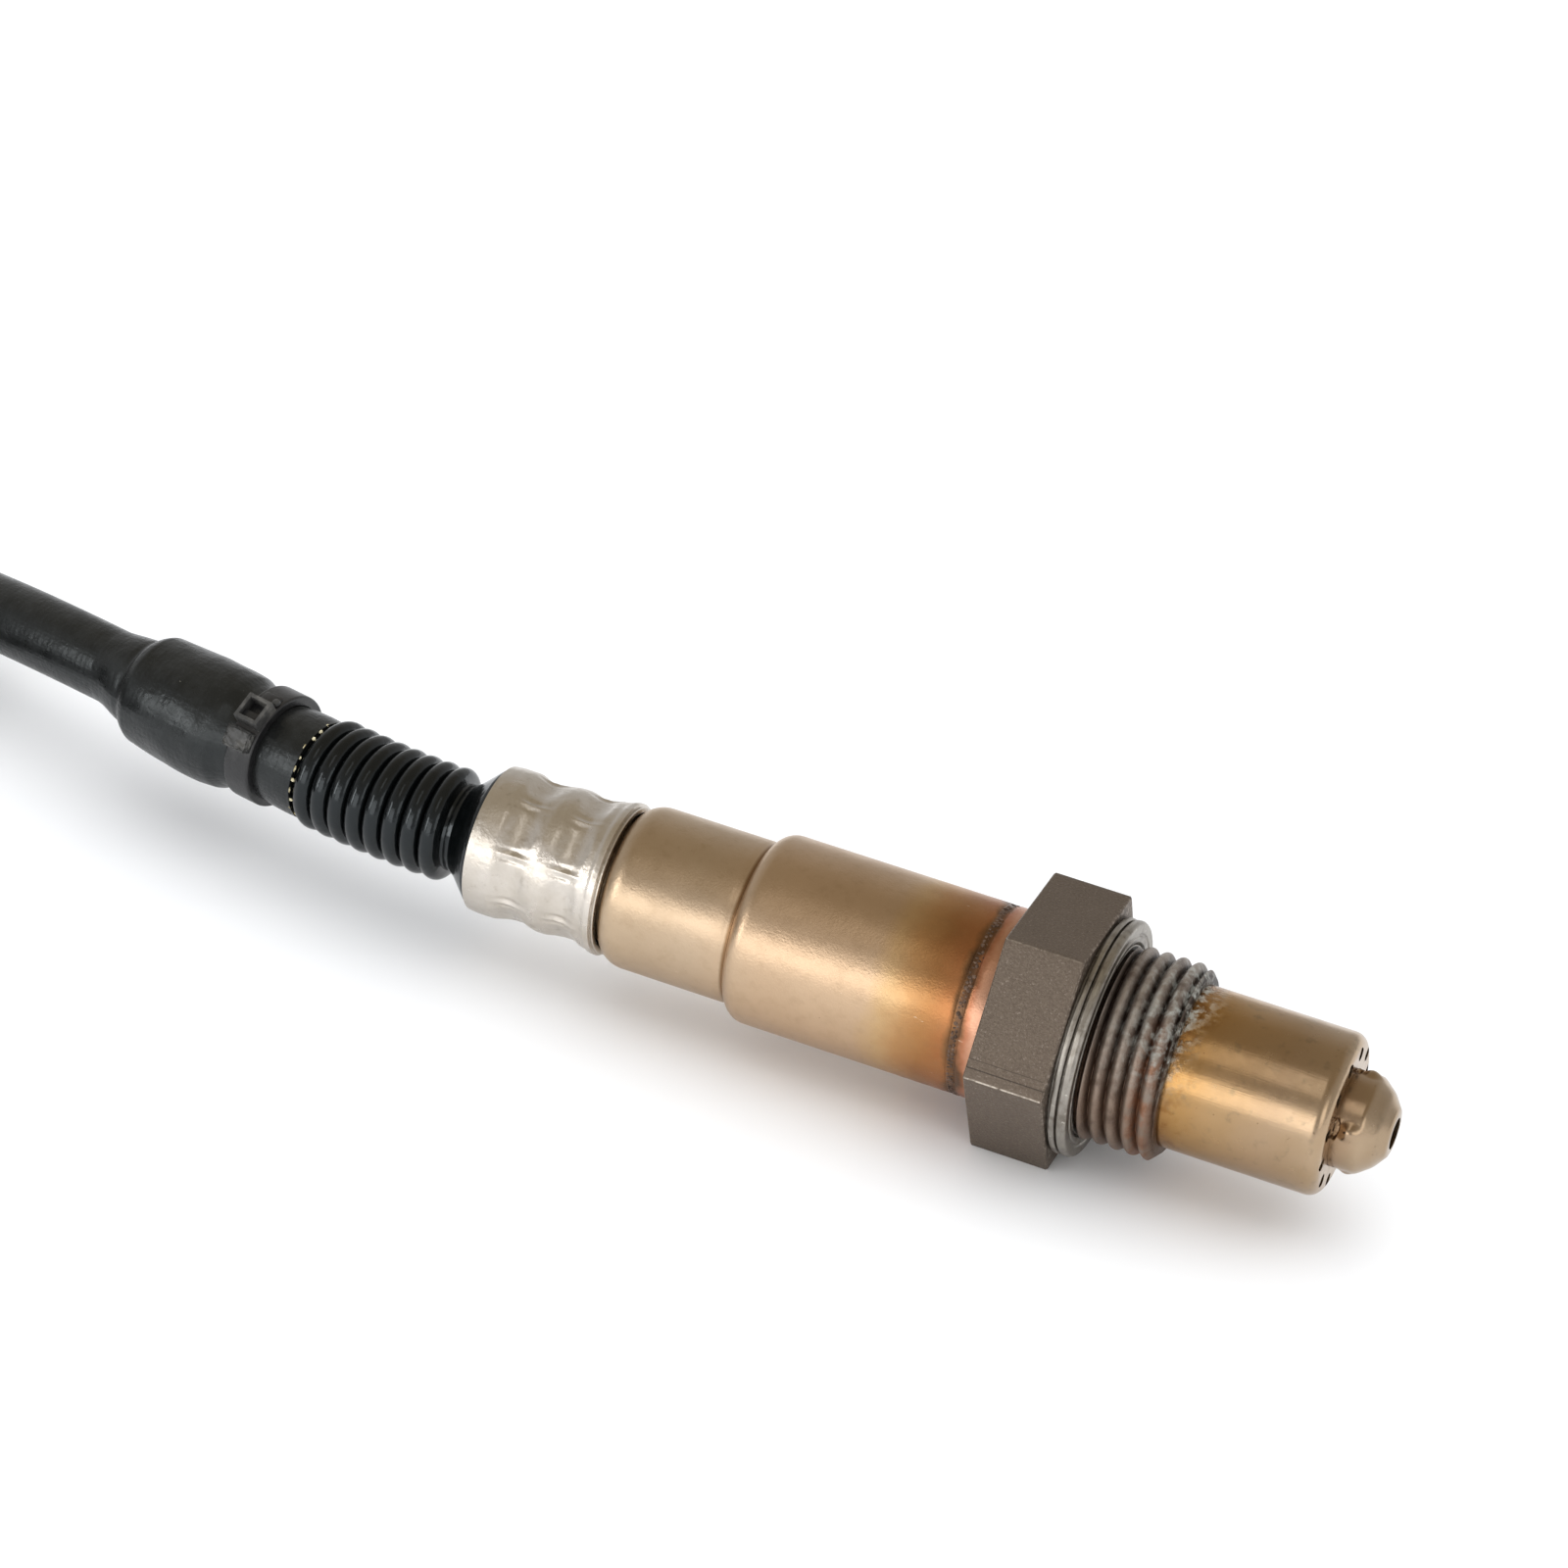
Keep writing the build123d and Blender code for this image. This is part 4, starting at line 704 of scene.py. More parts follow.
def housing_section():
    """Bored blank: front spigot, a fine run for the thread, neck, hexagon's round and collar."""
    bore = [(COLLAR_REAR, 5.3), (3.0, 5.3), (3.0, 3.4), (10.5, 3.4)]
    spigot = [(10.5, 6.915), (THREAD_FRONT, 6.915)]
    thread = [(x, THREAD_ROOT) for x in np.arange(THREAD_FRONT, 0.0, -0.06)]
    neck = [(0.0, 8.0), (HEX_FRONT, 8.0), (HEX_FRONT, 8.5)]
    front_face = [(HEX_FRONT, r) for r in np.linspace(10.5, HEX_CORNER, 12)]
    sides = [(x, HEX_CORNER) for x in (HEX_FRONT - HEX_EDGE, -4.0, -7.0, HEX_REAR + HEX_EDGE)]
    rear_face = [(HEX_REAR, r) for r in np.linspace(HEX_CORNER, 10.5, 12)]
    collar = [(HEX_REAR, 8.5), (HEX_REAR, 8.2), (COLLAR_REAR, 8.2)]
    return bore + spigot + thread + neck + front_face + sides + rear_face + collar


def gasket_section():
    """Folded ring: a bead at the hexagon, a groove and a broad rolled front with an inner lip."""
    lip = [(-0.25, 8.2, 0.1), (-0.1, 8.75, 0.1), (-0.4, 8.9, 0), (-0.05, 9.05, 0.1)]
    seal = [(0.0, 9.5, 0.1), (-0.12, 9.62, 0), (-0.12, 9.78, 0), (0.0, 9.9, 0.1)]
    roll = [(0.0, 10.75, 0.42), (-0.35, 10.93, 0.2), (-0.86, 10.9, 0.2), (-0.88, 10.35, 0)]
    bead = [(-1.02, 10.35, 0), (-1.04, 10.93, 0.25), (-1.62, 10.9, 0.22), (-1.64, 10.2, 0)]
    rear = [(-1.9, 8.6, 0), (-1.0, 8.6, 0), (-1.0, 8.25, 0)]
    return outline(rear + lip + seal + roll + bead + [(-1.9, 10.2, 0)], 0.3)


# ---- Nose ----


def nose_section():
    """Thin thimble: wide inside the outer tube, straight where it comes out, open at its tip."""
    flange = [(11.0, FLANGE_RADIUS), (16.6, FLANGE_RADIUS)]
    straight = [(x, NOSE_RADIUS) for x in [*np.arange(18.2, 26.2, 0.075), 26.3, 26.4]]
    tip = [(26.46, 2.0), (26.5, 1.85), (26.5, 1.45), (26.1, 1.45)]
    inside = [(24.4, NOSE_BORE), (18.0, NOSE_BORE), (16.5, FLANGE_BORE), (11.0, FLANGE_BORE)]
    return flange + straight + tip + inside


def nose_shape(x, r, angle):
    """Cone with a rounded shoulder, and gills: each a soft blister in front of a shallow slot."""
    cone = [(15.0, NOSE_RADIUS), (24.2, NOSE_RADIUS), (25.55, 3.4), (26.42, 2.2), (27.2, 1.2)]
    share = 2 * pi / GILL_COUNT
    off = np.mod(angle - radians(GILL_ANGLE) + share / 2, share) - share / 2
    side = NOSE_RADIUS * off
    away = np.hypot(x - GILL_STATION, side) / GILL_RADIUS
    blister = GILL_STAND * (0.5 + 0.5 * np.cos(pi * np.clip(away, 0, 1)))
    half_long, half_round = GILL_SLOT_HALVES
    out_of_slot = np.hypot((x - GILL_SLOT) / half_long, side / half_round)
    slot = np.clip(1.25 - out_of_slot, 0, 0.25) / 0.25
    surface = faired(x, cone, 0.8) + blister * (1 - slot) - GILL_SLOT_DEPTH * slot
    return x, np.where(np.abs(r - NOSE_RADIUS) < 0.05, surface, r)


# ---- Protective sleeve ----


def quarter(start, end, lean=0.5):
    """Rounded shoulder from the end of one run to the next, as a quarter of an ellipse."""
    points = []
    for part in range(1, 12):
        turn = pi / 2 * part / 12
        x = start[0] + (end[0] - start[0]) * (sin(turn) * (1 - lean) + lean * part / 12)
        r = start[1] + (end[1] - start[1]) * (1 - cos(turn))
        points.append((x, r, 0))
    return points


def sleeve_section():
    """Stepped sleeve: rounded at the step and at the cap, with a fine weld groove in front."""
    step_rear, step_foot = (-32.3, SLEEVE_RADIUS), (-33.95, 7.85)
    shoulder, neck = (-44.7, SLEEVE_MID_RADIUS), (-46.8, 6.5)
    groove = [(0.55, 0.0), (0.42, 0.08), (0.3, 0.03), (-0.3, 0.03), (-0.42, 0.08), (-0.55, 0.0)]
    foot = [(-34.1, 7.5, 0), (-34.35, 7.47, 0)]
    foot += [(-34.75, SLEEVE_MID_RADIUS, 0), (-35.6, SLEEVE_MID_RADIUS, 0)]
    neck_end = [(-46.85, SLEEVE_NECK_RADIUS, 0), (-59.0, SLEEVE_NECK_RADIUS, 0)]
    inside = [(-59.0, 5.35, 0), (-46.3, 5.35, 0), (-45.0, 7.0, 0), (-34.0, 7.0, 0)]
    corners = [
        (SLEEVE_FRONT, 8.25, 0), (SLEEVE_FRONT, SLEEVE_RADIUS, 0.2),
        *[(WELD_STATION + ahead, SLEEVE_RADIUS - deep, 0) for ahead, deep in groove],
        (*step_rear, 0), *quarter(step_rear, step_foot), (*step_foot, 0), *foot,
        (*shoulder, 0), *quarter(shoulder, neck), (*neck, 0), *neck_end,
        *inside, (-32.2, 8.25, 0),
    ]
    return outline(corners, 0.5)


# ---- Crimped cap ----

CAP_WAVE = [
    (-47.05, 7.0), (-47.3, 7.2), (-47.95, 7.2), (-48.3, 7.0), (-49.2, 6.85), (-50.2, 6.5),
    (-51.0, 6.5), (-52.6, 6.86), (-53.5, 6.86), (-55.3, 6.46), (-56.1, 6.46), (-57.7, 6.93),
    (-59.3, 6.95), (-60.3, 6.85),
]


def cap_section():
    """Thin cap with a rolled lip in front and a rounded rear edge, walled inside."""
    wave = [(x, 6.8, 0) for x in np.arange(CAP_LIP - 0.4, CAP_REAR + 0.25, -0.12)]
    rear = [(CAP_REAR, 6.7, 0.2), (CAP_REAR, 6.0, 0), (CAP_REAR + 0.4, 6.0, 0)]
    inside = [(CAP_REAR + 0.4, 6.2, 0), (CRIMP_STATIONS[1], 5.95, 0), (CRIMP_STATIONS[0], 5.95, 0)]
    lip = [(CAP_LIP - 1.0, 6.4, 0), (CAP_LIP, 6.5, 0), (CAP_LIP, 7.1, 0.25)]
    return outline([*lip[1:], *wave, *rear, *inside, lip[0]], 0.16)


def cap_shape(x, r, angle):
    """Two rows of dents pressed in by the jaws, with a small fold between neighbours."""
    outside = (r > 6.7) & (x < CAP_LIP - 0.35)
    wavy = faired(x, CAP_WAVE, 0.7)
    jaw = 2 * pi / CRIMP_JAWS
    off_centre = np.mod(angle - radians(CRIMP_ANGLE) + jaw / 2, jaw) - jaw / 2
    from_edge = jaw / 2 - np.abs(off_centre)
    shaped = wavy
    for row, depth in zip(CRIMP_STATIONS, CRIMP_DEPTHS):
        away = x - row
        press = CRIMP_TOOL - np.sqrt(np.maximum(CRIMP_TOOL ** 2 - away**2, 0))
        facet = (depth + press) / np.cos(off_centre)
        soft = 0.07
        pressed = -soft * np.log(np.exp(-wavy / soft) + np.exp(-facet / soft))
        near = np.exp(-((away / CRIMP_NEAR) ** 2))
        fold = FOLD_RISE * near * np.exp(-((from_edge / FOLD_WIDTH) ** 2))
        crease = CREASE_DEPTH * near * np.exp(-(((from_edge - CREASE_PLACE) / CREASE_WIDTH) ** 2))
        shaped = np.where(np.abs(away) < CRIMP_TOOL, pressed + fold - crease, shaped)
    return x, np.where(outside, np.minimum(shaped, 7.2), r)


# ---- Braided sleeve's mouth ----

BOOT_OUTLINE = [
    (BOOT_FRONT, 4.85), (-1.0, 4.9), (-2.4, 4.86), (-3.7, 4.75), (-4.4, 4.7), (-6.6, 4.72),
    (-7.2, 4.85), (-8.2, 5.1), (-9.3, 5.58), (-11.0, 5.76), (-14.0, 5.82), (-17.0, 5.68),
    (-19.5, 5.45), (-20.3, 5.02), (-20.8, 4.38), (-21.1, 4.28), (-21.5, 4.3), (-22.5, 4.1),
    (-24.0, 3.74), (BOOT_REAR, 3.56),
]


def boot_shape(x, r, angle):
    """Sleeve drawn over the plug: soft waves, a crease at its rear end and a pinch at the tie."""
    ripple = 0.05 * np.sin(2 * angle + 0.35 * x) + 0.04 * np.sin(3 * angle - 0.7 * x + 1.0)
    ripple = ripple + 0.03 * np.sin(5 * angle + 1.1 * x)
    swell = faired(x, [(-24.0, 0.0), (-21.5, 0.5), (-19.0, 1.0), (-10.0, 1.0), (-7.6, 0.0)], 1.5)
    outer = faired(x, BOOT_OUTLINE, 0.7) + ripple * swell
    return x, np.where(r > 5.0, outer, np.minimum(r, outer - 0.3))


def boot_place(points):
    """The bulge sags a little towards the front and below."""
    stops = [(-24.0, 0.0), (-21.5, 0.2), (-19.0, 0.28), (-9.5, 0.28), (-7.0, 0.1), (0.0, 0.1)]
    sag = faired(points[..., 0], stops, 2.0)
    lean = radians(-52)
    shift = np.stack([0 * sag, -sag * cos(lean), sag * sin(lean)], axis=-1)
    return on_boot(points + shift)


def boot_section():
    """Braided tube to be shaped outside, whose inside clears the plug and the lead."""
    outer = [(x, 6.0) for x in [*np.arange(BOOT_FRONT, BOOT_REAR, -0.15), BOOT_REAR]]
    inner = [(BOOT_REAR, 3.2), (-20.4, 3.7), (-17.0, 4.95), (-9.6, 4.95), (-7.4, 4.35)]
    return outer + inner + [(BOOT_FRONT, 4.35)]


# ---- Cable tie ----


# A rough block's first faces by their first points.
FIRST_FACES = (2, 0, 9, 8, 7, 1)


def face_place(face):
    """Place of a face in its mesh: for the first ones a fixed place, for the others their own."""
    point = face.loops[0].vert.index
    if face.index < len(FIRST_FACES) and point in FIRST_FACES:
        return FIRST_FACES.index(point)
    return face.index


def block(low, high, turn, edge=0.12, rough=0.0):
    """Points and faces of a box with rounded edges, turned to an angle round the boot."""
    work = bmesh.new()
    bmesh.ops.create_cube(work, size=1)
    low, high = Vector(low), Vector(high)
    size = high - low
    for vertex in work.verts:
        vertex.co = Vector([(low[k] + high[k]) / 2 + vertex.co[k] * size[k] for k in range(3)])
    bmesh.ops.bevel(work, geom=work.edges[:], offset=edge, segments=2, affect="EDGES", profile=0.5)
    if rough:
        bmesh.ops.triangulate(work, faces=work.faces)
        # That leaves the first faces in a chance order; in a fixed one each run comes out alike.
        work.verts.index_update()
        work.faces.index_update()
        work.faces.sort(key=face_place)
        bmesh.ops.subdivide_edges(work, edges=work.edges, cuts=5, use_grid_fill=True)
        chance = np.random.default_rng(7)
        for vertex in work.verts:
            vertex.co += Vector(chance.uniform(-rough, rough, 3))
    matrix = Matrix.Rotation(radians(90 - turn), 4, "X")
    points = np.array([(matrix @ vertex.co)[:] for vertex in work.verts])
    faces = [[vertex.index for vertex in face.verts] for face in work.faces]
    work.free()
    return points, faces


def cable_tie():
    """Strap round the waist, and a small windowed head with a ledge in it and the torn-off tail."""
    half = TIE_WIDTH / 2
    band = [(-half, 4.7, 0), (half, 4.7, 0), (half, 5.55, 0.28), (-half, 5.55, 0.28)]
    section = outline(band, 0.4)
    columns = 160
    x, r = np.array(section).T
    angle = turns_of(columns)
    ring = turned(x + 0 * angle, r, angle).reshape(-1, 3)
    head_angle, boss_angle, tail_angle = 57, 76, 29
    inner, outer = HEAD_WINDOW, HEAD_EDGE
    lap = inner + 0.1
    strap = [
        (ring, ring_faces(columns, len(section))),
        block((-0.95, -1.0, 4.9), (1.0, 1.0, 5.72), boss_angle, 0.2),
        block((-lap, -lap, 5.0), (lap, -0.1, 6.15), head_angle, 0.1),
    ]
    frame_bars = [
        ((-outer, -outer), (-inner, outer)),
        ((inner, -outer), (outer, outer)),
        ((-lap, -outer), (lap, -inner)),
        ((-lap, inner), (lap, outer)),
    ]
    head = [block((*a, 5.0), (*b, TIE_TOP), head_angle, 0.08) for a, b in frame_bars]
    head.append(block((-1.6, -1.0, 4.9), (1.15, 1.0, 6.25), tail_angle, 0.25, 0.07))
    head.append(block((0.55, -0.42, 5.5), (1.3, 0.42, 6.1), boss_angle, 0.28))
    made = []
    for name, shells in (("tie_strap", strap), ("tie_head", head)):
        points, faces, start = [], [], 0
        for more, polygons in shells:
            points.append(more)
            faces += [[index + start for index in polygon] for polygon in polygons]
            start += len(more)
        points = on_boot(np.concatenate(points) + np.array([TIE_STATION, 0, 0]))
        made.append(mesh_object(name, points, faces))
    return made


# ---- Repeated things, made with geometry nodes ----


def grown(name, tree, values):
    """Plain mesh object grown by a node tree whose named inputs get these values."""
    carrier = placed(name, bpy.data.meshes.new(name))
    modifier = carrier.modifiers.new(name, "NODES")
    modifier.node_group = tree
    for item in tree.interface.items_tree:
        if item.in_out == "INPUT":
            modifier[item.identifier] = values[item.name]
    mesh = evaluated(carrier)
    carrier.modifiers.clear()
    carrier.data = mesh
    return carrier


def node_group(name, values):
    """Empty geometry tree with a named input for each value, and its input node."""
    tree = bpy.data.node_groups.new(name, "GeometryNodeTree")
    tree.interface.new_socket("Geometry", in_out="OUTPUT", socket_type="NodeSocketGeometry")
    for label, value in values.items():
        kind = "NodeSocketInt" if isinstance(value, int) else "NodeSocketFloat"
        tree.interface.new_socket(label, in_out="INPUT", socket_type=kind)
    return tree, tree.nodes.new("NodeGroupInput").outputs


BELLOWS_BODY = [
    (-59.3, 5.9), (-59.9, 6.0), (-60.05, 6.68), (-60.5, 6.45), (-62.1, 4.85), (-62.8, 4.25),
    (-63.4, 4.12), (-64.4, 4.3), (-78.2, 4.3), (-86.6, 4.3), (-88.9, 4.9), (-95.4, 4.9),
]
# How far a bit strays sideways, sideways and lengthways at full jitter, in metres.
BIT_NUDGE = (0.0001, 0.0001, 0.0002)
WELD_BITS = {"size": (0.19, 0.07, 0.2), "radius": 8.8, "count": 118, "jitter": 0.35}
FIBRE_BITS = {"size": (0.3, 0.17, 0.2), "radius": 4.68, "count": 27, "jitter": 0.5}
# Rows of pebbles on the weld: name, how far in front of its middle, seed and turn in degrees.
WELD_ROWS = (("rear", -0.15, 4, 0.0), ("front", 0.15, 11, 1.5))


def clothed(shape, surface):
    """Make a tree's shape real, give it its material and let the tree put it out."""
    tree = shape.id_data
    real = add(tree, "GeometryNodeRealizeInstances", {0: shape})
    covered = add(tree, "GeometryNodeSetMaterial", {"Geometry": real, "Material": surface})
    add(tree, "NodeGroupOutput", {0: covered})


def ring_of_bits(name, surface, size, radius, count, jitter, seed, turn):
    """Small faceted bits on a circle about X, each of a slightly different size and place."""
    values = {"Radius": radius * MM, "Count": count, "Jitter": jitter, "Seed": seed}
    tree, given = node_group(name, values)
    points = {"Vertices": given["Count"], "Radius": given["Radius"]}
    circle = add(tree, "GeometryNodeMeshCircle", points)
    bit = add(tree, "GeometryNodeMeshIcoSphere", {"Radius": MM, "Subdivisions": 1})
    place = add(tree, "GeometryNodeInputPosition")
    spread = {"Min": (-1.0, -1.0, -1.0), "Max": (1.0, 1.0, 1.0), "Seed": given["Seed"]}
    chance = add(tree, "FunctionNodeRandomValue", spread, data_type="FLOAT_VECTOR")
    by_jitter = {0: chance, "Scale": given["Jitter"]}
    uneven = add(tree, "ShaderNodeVectorMath", by_jitter, operation="SCALE")
    scale = vectors("MULTIPLY_ADD", uneven, size, size)
    nudge = vectors("MULTIPLY", uneven, BIT_NUDGE)
    moved = add(tree, "GeometryNodeSetPosition", {"Geometry": circle, "Offset": nudge})
    aside = add(tree, "FunctionNodeAlignRotationToVector", {"Vector": place}, axis="Y")
    spots = {"Points": moved, "Instance": bit, "Rotation": aside, "Scale": scale}
    bits = add(tree, "GeometryNodeInstanceOnPoints", spots)
    clothed(bits, surface)
    made = grown(name, tree, values)
    spin = Matrix.Rotation(radians(turn), 4, "X")
    made.data.transform(spin @ Matrix(((0, 0, 1, 0), (-1, 0, 0, 0), (0, 1, 0, 0), (0, 0, 0, 1))))
    return made


def ribbed_sleeve(surface):
    """Rubber sleeve swept along its axis: a cone, a neck and a row of round ribs."""
    values = {"Front": BELLOWS_BODY[0][0], "Rear": BELLOWS_BODY[-1][0], "First rib": RIB_FIRST}
    values |= {"Pitch": RIB_PITCH, "Crest": RIB_CREST, "Rib round": RIB_ROUND}
    values = {label: value * MM for label, value in values.items()} | {"Last rib": RIB_COUNT - 1}
    tree, given = node_group("ribbed_sleeve", values)
    start = add(tree, "ShaderNodeCombineXYZ", {"X": given["Front"]})
    end = add(tree, "ShaderNodeCombineXYZ", {"X": given["Rear"]})
    line = add(tree, "GeometryNodeCurvePrimitiveLine", {"Start": start, "End": end})
    fine = add(tree, "GeometryNodeResampleCurve", {"Curve": line, "Count": 560})
    station = add(tree, "ShaderNodeSeparateXYZ", {0: add(tree, "GeometryNodeInputPosition")}, "X")
    number = maths("DIVIDE", maths("SUBTRACT", given["First rib"], station), given["Pitch"])
    nearest = maths("MAXIMUM", maths("ROUND", number), 0.0)
    nearest = maths("MINIMUM", nearest, given["Last rib"])
    off = maths("MULTIPLY", maths("SUBTRACT", number, nearest), given["Pitch"])
    round_squared = maths("POWER", given["Rib round"], 2.0)
    rise = maths("SUBTRACT", round_squared, maths("POWER", off, 2.0))
    rise = maths("SQRT", maths("MAXIMUM", rise, 0.0))
    ribs = maths("ADD", maths("SUBTRACT", given["Crest"], given["Rib round"]), rise)
    # The body's radius: its first value, and then each run's change added.
    body, before = None, 0.0
    for (x, r), (x_next, r_next) in zip(BELLOWS_BODY, BELLOWS_BODY[1:]):
        least = r if body is None else 0.0
        part = ranged(station, x * MM, x_next * MM, least * MM, (r_next - before) * MM)
        body = part if body is None else maths("ADD", body, part)
        before = r_next
    in_row = maths("LESS_THAN", station, (RIB_FIRST + RIB_REACH) * MM)
    rear = RIB_FIRST - (RIB_COUNT - 1) * RIB_PITCH - RIB_REACH
    out_row = maths("GREATER_THAN", station, rear * MM)
    shown = maths("MULTIPLY", in_row, out_row)
    ribs = maths("MULTIPLY", ribs, shown)
    radius = maths("SMOOTH_MAX", body, ribs, 0.12 * MM)
    profile = add(tree, "GeometryNodeCurvePrimitiveCircle", {"Resolution": 128, "Radius": 1.0})
    sweep = {"Curve": fine, "Profile Curve": profile, "Scale": radius, "Fill Caps": True}
    swept = add(tree, "GeometryNodeCurveToMesh", sweep)
    clothed(swept, surface)
    made = grown("ribbed_sleeve", tree, values)
    made.data.shade_smooth()
    made.data.set_sharp_from_angle(angle=radians(40))
    return made


def moved_in_mesh(piece, move):
    """Move a piece's points, given in mm, and leave its object at the origin."""
    mesh = piece.data
    points = np.empty(len(mesh.vertices) * 3, dtype=np.float32)
    mesh.vertices.foreach_get("co", points)
    points = move(points.reshape(-1, 3) / MM) * MM
    mesh.vertices.foreach_set("co", points.astype(np.float32).ravel())
    mesh.update()


# ---- Lead ----


def coil_points():
    """The coil's turn and its rise onto itself, as control points, about 24 to a turn."""
    points = []
    for step in range(1, COIL_STEPS + 1):
        angle = radians(COIL_ENTRY + (COIL_EXIT - COIL_ENTRY) * step / COIL_STEPS)
        x = COIL_CENTRE[0] + COIL_RADIUS * cos(angle)
        y = COIL_CENTRE[1] + COIL_RADIUS * sin(angle)
        start = radians(COIL_RISE_FROM)
        rise = 0.0
        if angle > 2 * pi + start:
            rise = 1 - (1 - sin(angle)) / (1 - sin(start))
        points.append((x, y, LEAD_HEIGHT + (COIL_TOP - LEAD_HEIGHT) * rise))
    return points


def lead_route():
    """Places that the lead runs through, from the boot over the coil to the plug."""
    to_coil = [
        (-99.945, 6.764, 0.0), (-111.637, 9.463, 0.0), (-124.0, 14.4, -2.2),
        (-137.0, 20.3, -5.3), (-150.2, 26.0, -7.4),
    ]
    to_plug = [
        (-172.0, 28.95, -0.05), (-181.0, 28.6, 0.3), (-191.0, 24.3, 3.0), (-196.9, 15.6, 5.5),
        (-197.5, 10.5, 5.75), (-197.5, 5.6, 5.75),
    ]
    return to_coil + coil_points() + to_plug


def spline_points(route):
    """Points read along the smooth line that a route's control points give."""
    curve = bpy.data.curves.new("lead_line", "CURVE")
    curve.dimensions = "3D"
    curve.resolution_u = 8
    line = curve.splines.new("NURBS")
    line.points.add(len(route) - 1)
    for point, place in zip(line.points, route):
        point.co = (*(Vector(place) * MM), 1)
    line.order_u = 3
    line.use_endpoint_u = True
    carrier = placed("lead_line", curve)
    mesh = evaluated(carrier)
    points = [vertex.co.copy() / MM for vertex in mesh.vertices]
    bpy.data.objects.remove(carrier)
    bpy.data.curves.remove(curve)
    bpy.data.meshes.remove(mesh)
    return points


def lead(route):
    """Round tube along the route, closed at both ends."""
    line = spline_points(route)
    turns = [2 * pi * column / LEAD_COLUMNS for column in range(LEAD_COLUMNS)]
    points, run, distance = [], [], 0.0
    normal = Vector((0, 0, 1))
    for index, point in enumerate(line):
        ahead = line[min(index + 1, len(line) - 1)] - line[max(index - 1, 0)]
        ahead.normalize()
        normal = (normal - ahead * normal.dot(ahead)).normalized()
        side = ahead.cross(normal)
        if index:
            distance += (point - line[index - 1]).length
        run.append(distance)
        ring = [point + (normal * cos(t) + side * sin(t)) * LEAD_RADIUS for t in turns]
        points += [corner[:] for corner in ring]
    faces, uvs = [], []
    one = 1 / LEAD_COLUMNS
    for row, (v, v_next) in enumerate(zip(run, run[1:])):
        start, following = row * LEAD_COLUMNS, (row + 1) * LEAD_COLUMNS
        for column in range(LEAD_COLUMNS):
            after = (column + 1) % LEAD_COLUMNS
            faces.append([start + column, start + after, following + after, following + column])
            u = column / LEAD_COLUMNS
            uvs += [(u, v), (u + one, v), (u + one, v_next), (u, v_next)]
    last = (len(line) - 1) * LEAD_COLUMNS
    faces.append(list(range(LEAD_COLUMNS))[::-1])
    faces.append([last + column for column in range(LEAD_COLUMNS)])
    uvs += [(0, 0)] * (2 * LEAD_COLUMNS)
    made = mesh_object("lead", points, faces, uvs, 50)
    return made, [point * MM for point in line], distance * MM


# ---- Scene ----

bpy.context.scene.view_settings.view_transform = "Standard"
camera()

floor_mesh = bpy.data.meshes.new("floor")
corners = [(x * FLOOR_HALF, y * FLOOR_HALF, 0) for x, y in ((-1, -1), (1, -1), (1, 1), (-1, 1))]
floor_mesh.from_pydata(corners, [], [(0, 1, 2, 3)])
floor_mesh.transform(Matrix.Translation((0, 0, cad_box[0][2] - FLOOR_GAP * MM)))
floor = placed("floor", floor_mesh)
floor_mesh.materials.append(studio_paper())

lamps = [softbox(*values) for values in SOFTBOXES]
# The overhead light only fills shadows: metal would show it as a bright sheet.
lamps[-1].visible_glossy = False

world = bpy.data.worlds.new("studio")
world.use_nodes = True
sky = world.node_tree
sky.nodes.clear()
toward = add(sky, "ShaderNodeTexCoord", give="Generated")
height = add(sky, "ShaderNodeSeparateXYZ", {0: toward}, "Z")
tent = add(sky, "ShaderNodeValToRGB", {"Fac": height}, stops=TENT)
fill = add(sky, "ShaderNodeLightPath", give="Is Diffuse Ray")
tone = add(sky, "ShaderNodeMix", {0: fill, 6: tent, 7: TENT_FILL}, 2, data_type="RGBA")
glow = add(sky, "ShaderNodeBackground", {"Color": tone, "Strength": 1.0})
add(sky, "ShaderNodeOutputWorld", {"Surface": glow})
bpy.context.scene.world = world

braid = coated_braid()
tie_nylon = nylon("moulded_black_nylon", "#19191a", "#343433", 0.34)

lead_piece, lead_path, lead_length = lead(lead_route())
finished(lead_piece, braid, "lead_sleeve", "lead_coil", "lead_tail")

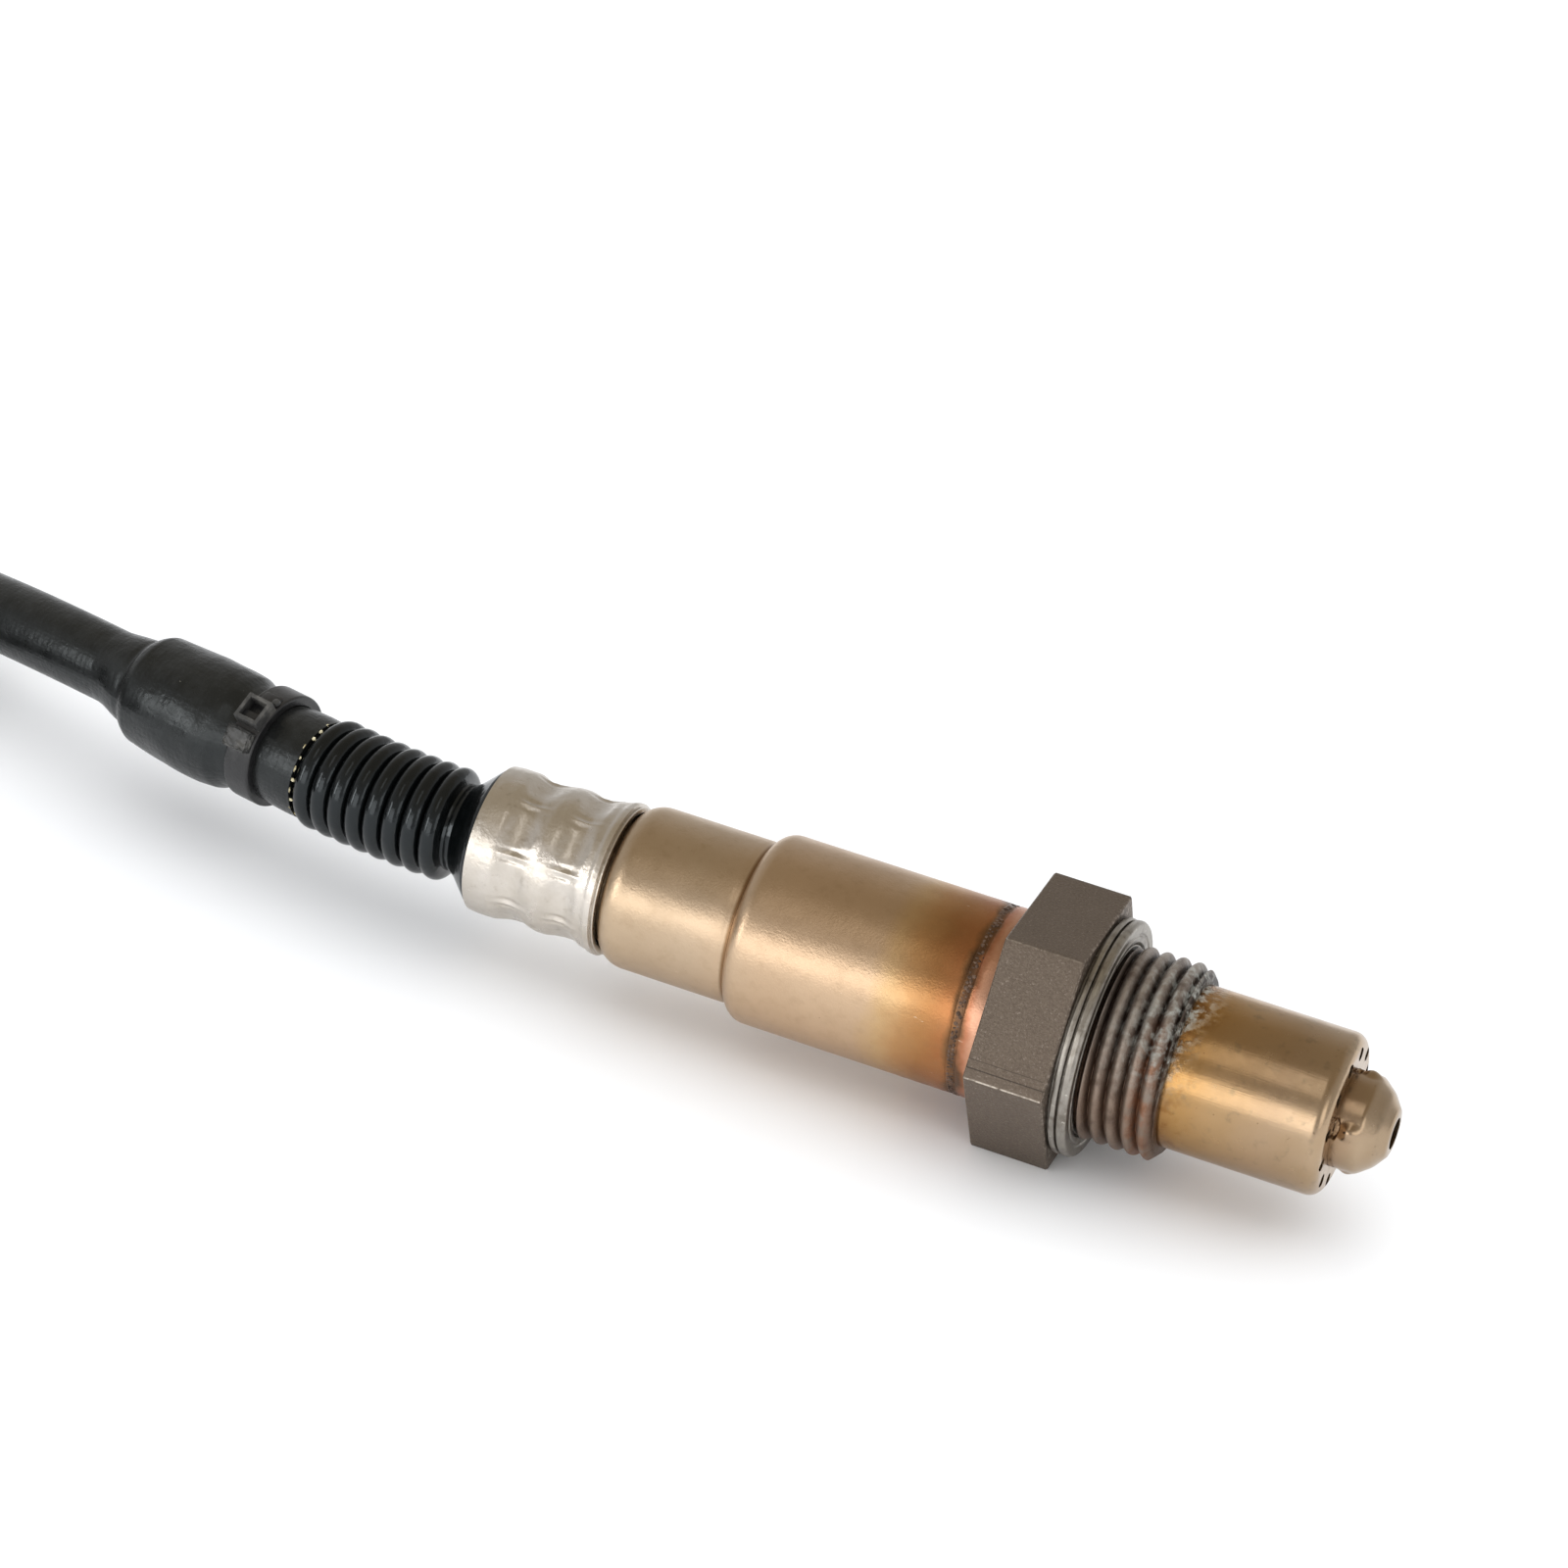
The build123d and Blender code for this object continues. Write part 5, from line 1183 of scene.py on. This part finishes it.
housing = lathe("housing_body", housing_section(), 288, housing_shape)
finished(housing, housing_steel(), "housing")
finished(lathe("folded_gasket", gasket_section(), 240), gasket_steel(), "gasket")
sleeve = lathe("stepped_sleeve", sleeve_section(), 240)
finished(sleeve, tinted_sleeve_steel(), "protective_sleeve")
finished(lathe("pressed_cap", cap_section(), 480, cap_shape), plated_cap(), "crimp_cap")
rubber = moulded_rubber()
bellows = ribbed_sleeve(rubber)
moved_in_mesh(bellows, on_bend)
finished(bellows, rubber, "bellows")
mouth = lathe("braided_mouth", boot_section(), 180, boot_shape, boot_place)
finished(mouth, braid, "sleeve_boot")
strap, head = cable_tie()
finished(strap, tie_nylon, "cable_tie")
finished(head, nylon("rubbed_black_nylon", "#343433", "#77746e", 0.45))

bead = weld_bead_steel()
for side, ahead, seed, turn in WELD_ROWS:
    pebbles = ring_of_bits("weld_pebbles_" + side, bead, seed=seed, turn=turn, **WELD_BITS)
    station = np.array([WELD_STATION + ahead, 0, 0])
    moved_in_mesh(pebbles, lambda points, station=station: points + station)
    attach(pebbles, "root")
fibres = ring_of_bits("fibre_ends", glass_fibre(), seed=9, turn=0.0, **FIBRE_BITS)
moved_in_mesh(fibres, lambda points: boot_place(points + np.array([BOOT_FRONT, 0, 0])))
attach(fibres, "root")

probe = probe_steel("straw_tinted_probe_steel", HOT_STRAW, 0.3)
nose = probe_steel("beige_nose_steel", PALE_STRAW, 0.15)
finished(lathe("gilled_nose", nose_section(), 320, nose_shape), nose, "inner_protection_tube")
ceramic = fired_ceramic()
spring_steel = rolled_metal("blued_spring_steel", "#9a9792", "#6c675f", 0.35)
brass = rolled_metal("tinned_brass", "#cdbb94", "#8f8367", 0.3)
wire_cover = nylon("extruded_wire_cover", "#8f9093", "#a5a6a8", 0.4)
seal = moulded_silicone()
black_nylon = nylon("moulded_plug_nylon", "#121314", "#2b2c2d", 0.45)
grey_nylon = nylon("moulded_grey_nylon", "#8d9092", "#7a7d80", 0.45)

CAD_SURFACES = [
    (probe, ["outer_protection_tube"]),
    (ceramic, ["sensor_element", "lower_ceramic_bush", "upper_ceramic_bush"]),
    (ceramic, ["contact_holder_upper", "contact_holder_lower", "trim_resistor"]),
    (pressed_talc(), ["talc_packing"]),
    (spring_steel, ["disc_spring", "press_ring", "holder_clamp"]),
    (brass, ["contacts", "terminals"]),
    (wire_cover, ["wires", "plug_wires"]),
    (seal, ["cable_seal", "wire_seal"]),
    (tie_nylon, ["coil_tie"]),
    (black_nylon, ["plug_housing", "rear_hood"]),
    (grey_nylon, ["plug_lock"]),
]
for surface, names in CAD_SURFACES:
    for name in names:
        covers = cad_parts[name].data.materials
        covers.clear()
        covers.append(surface)
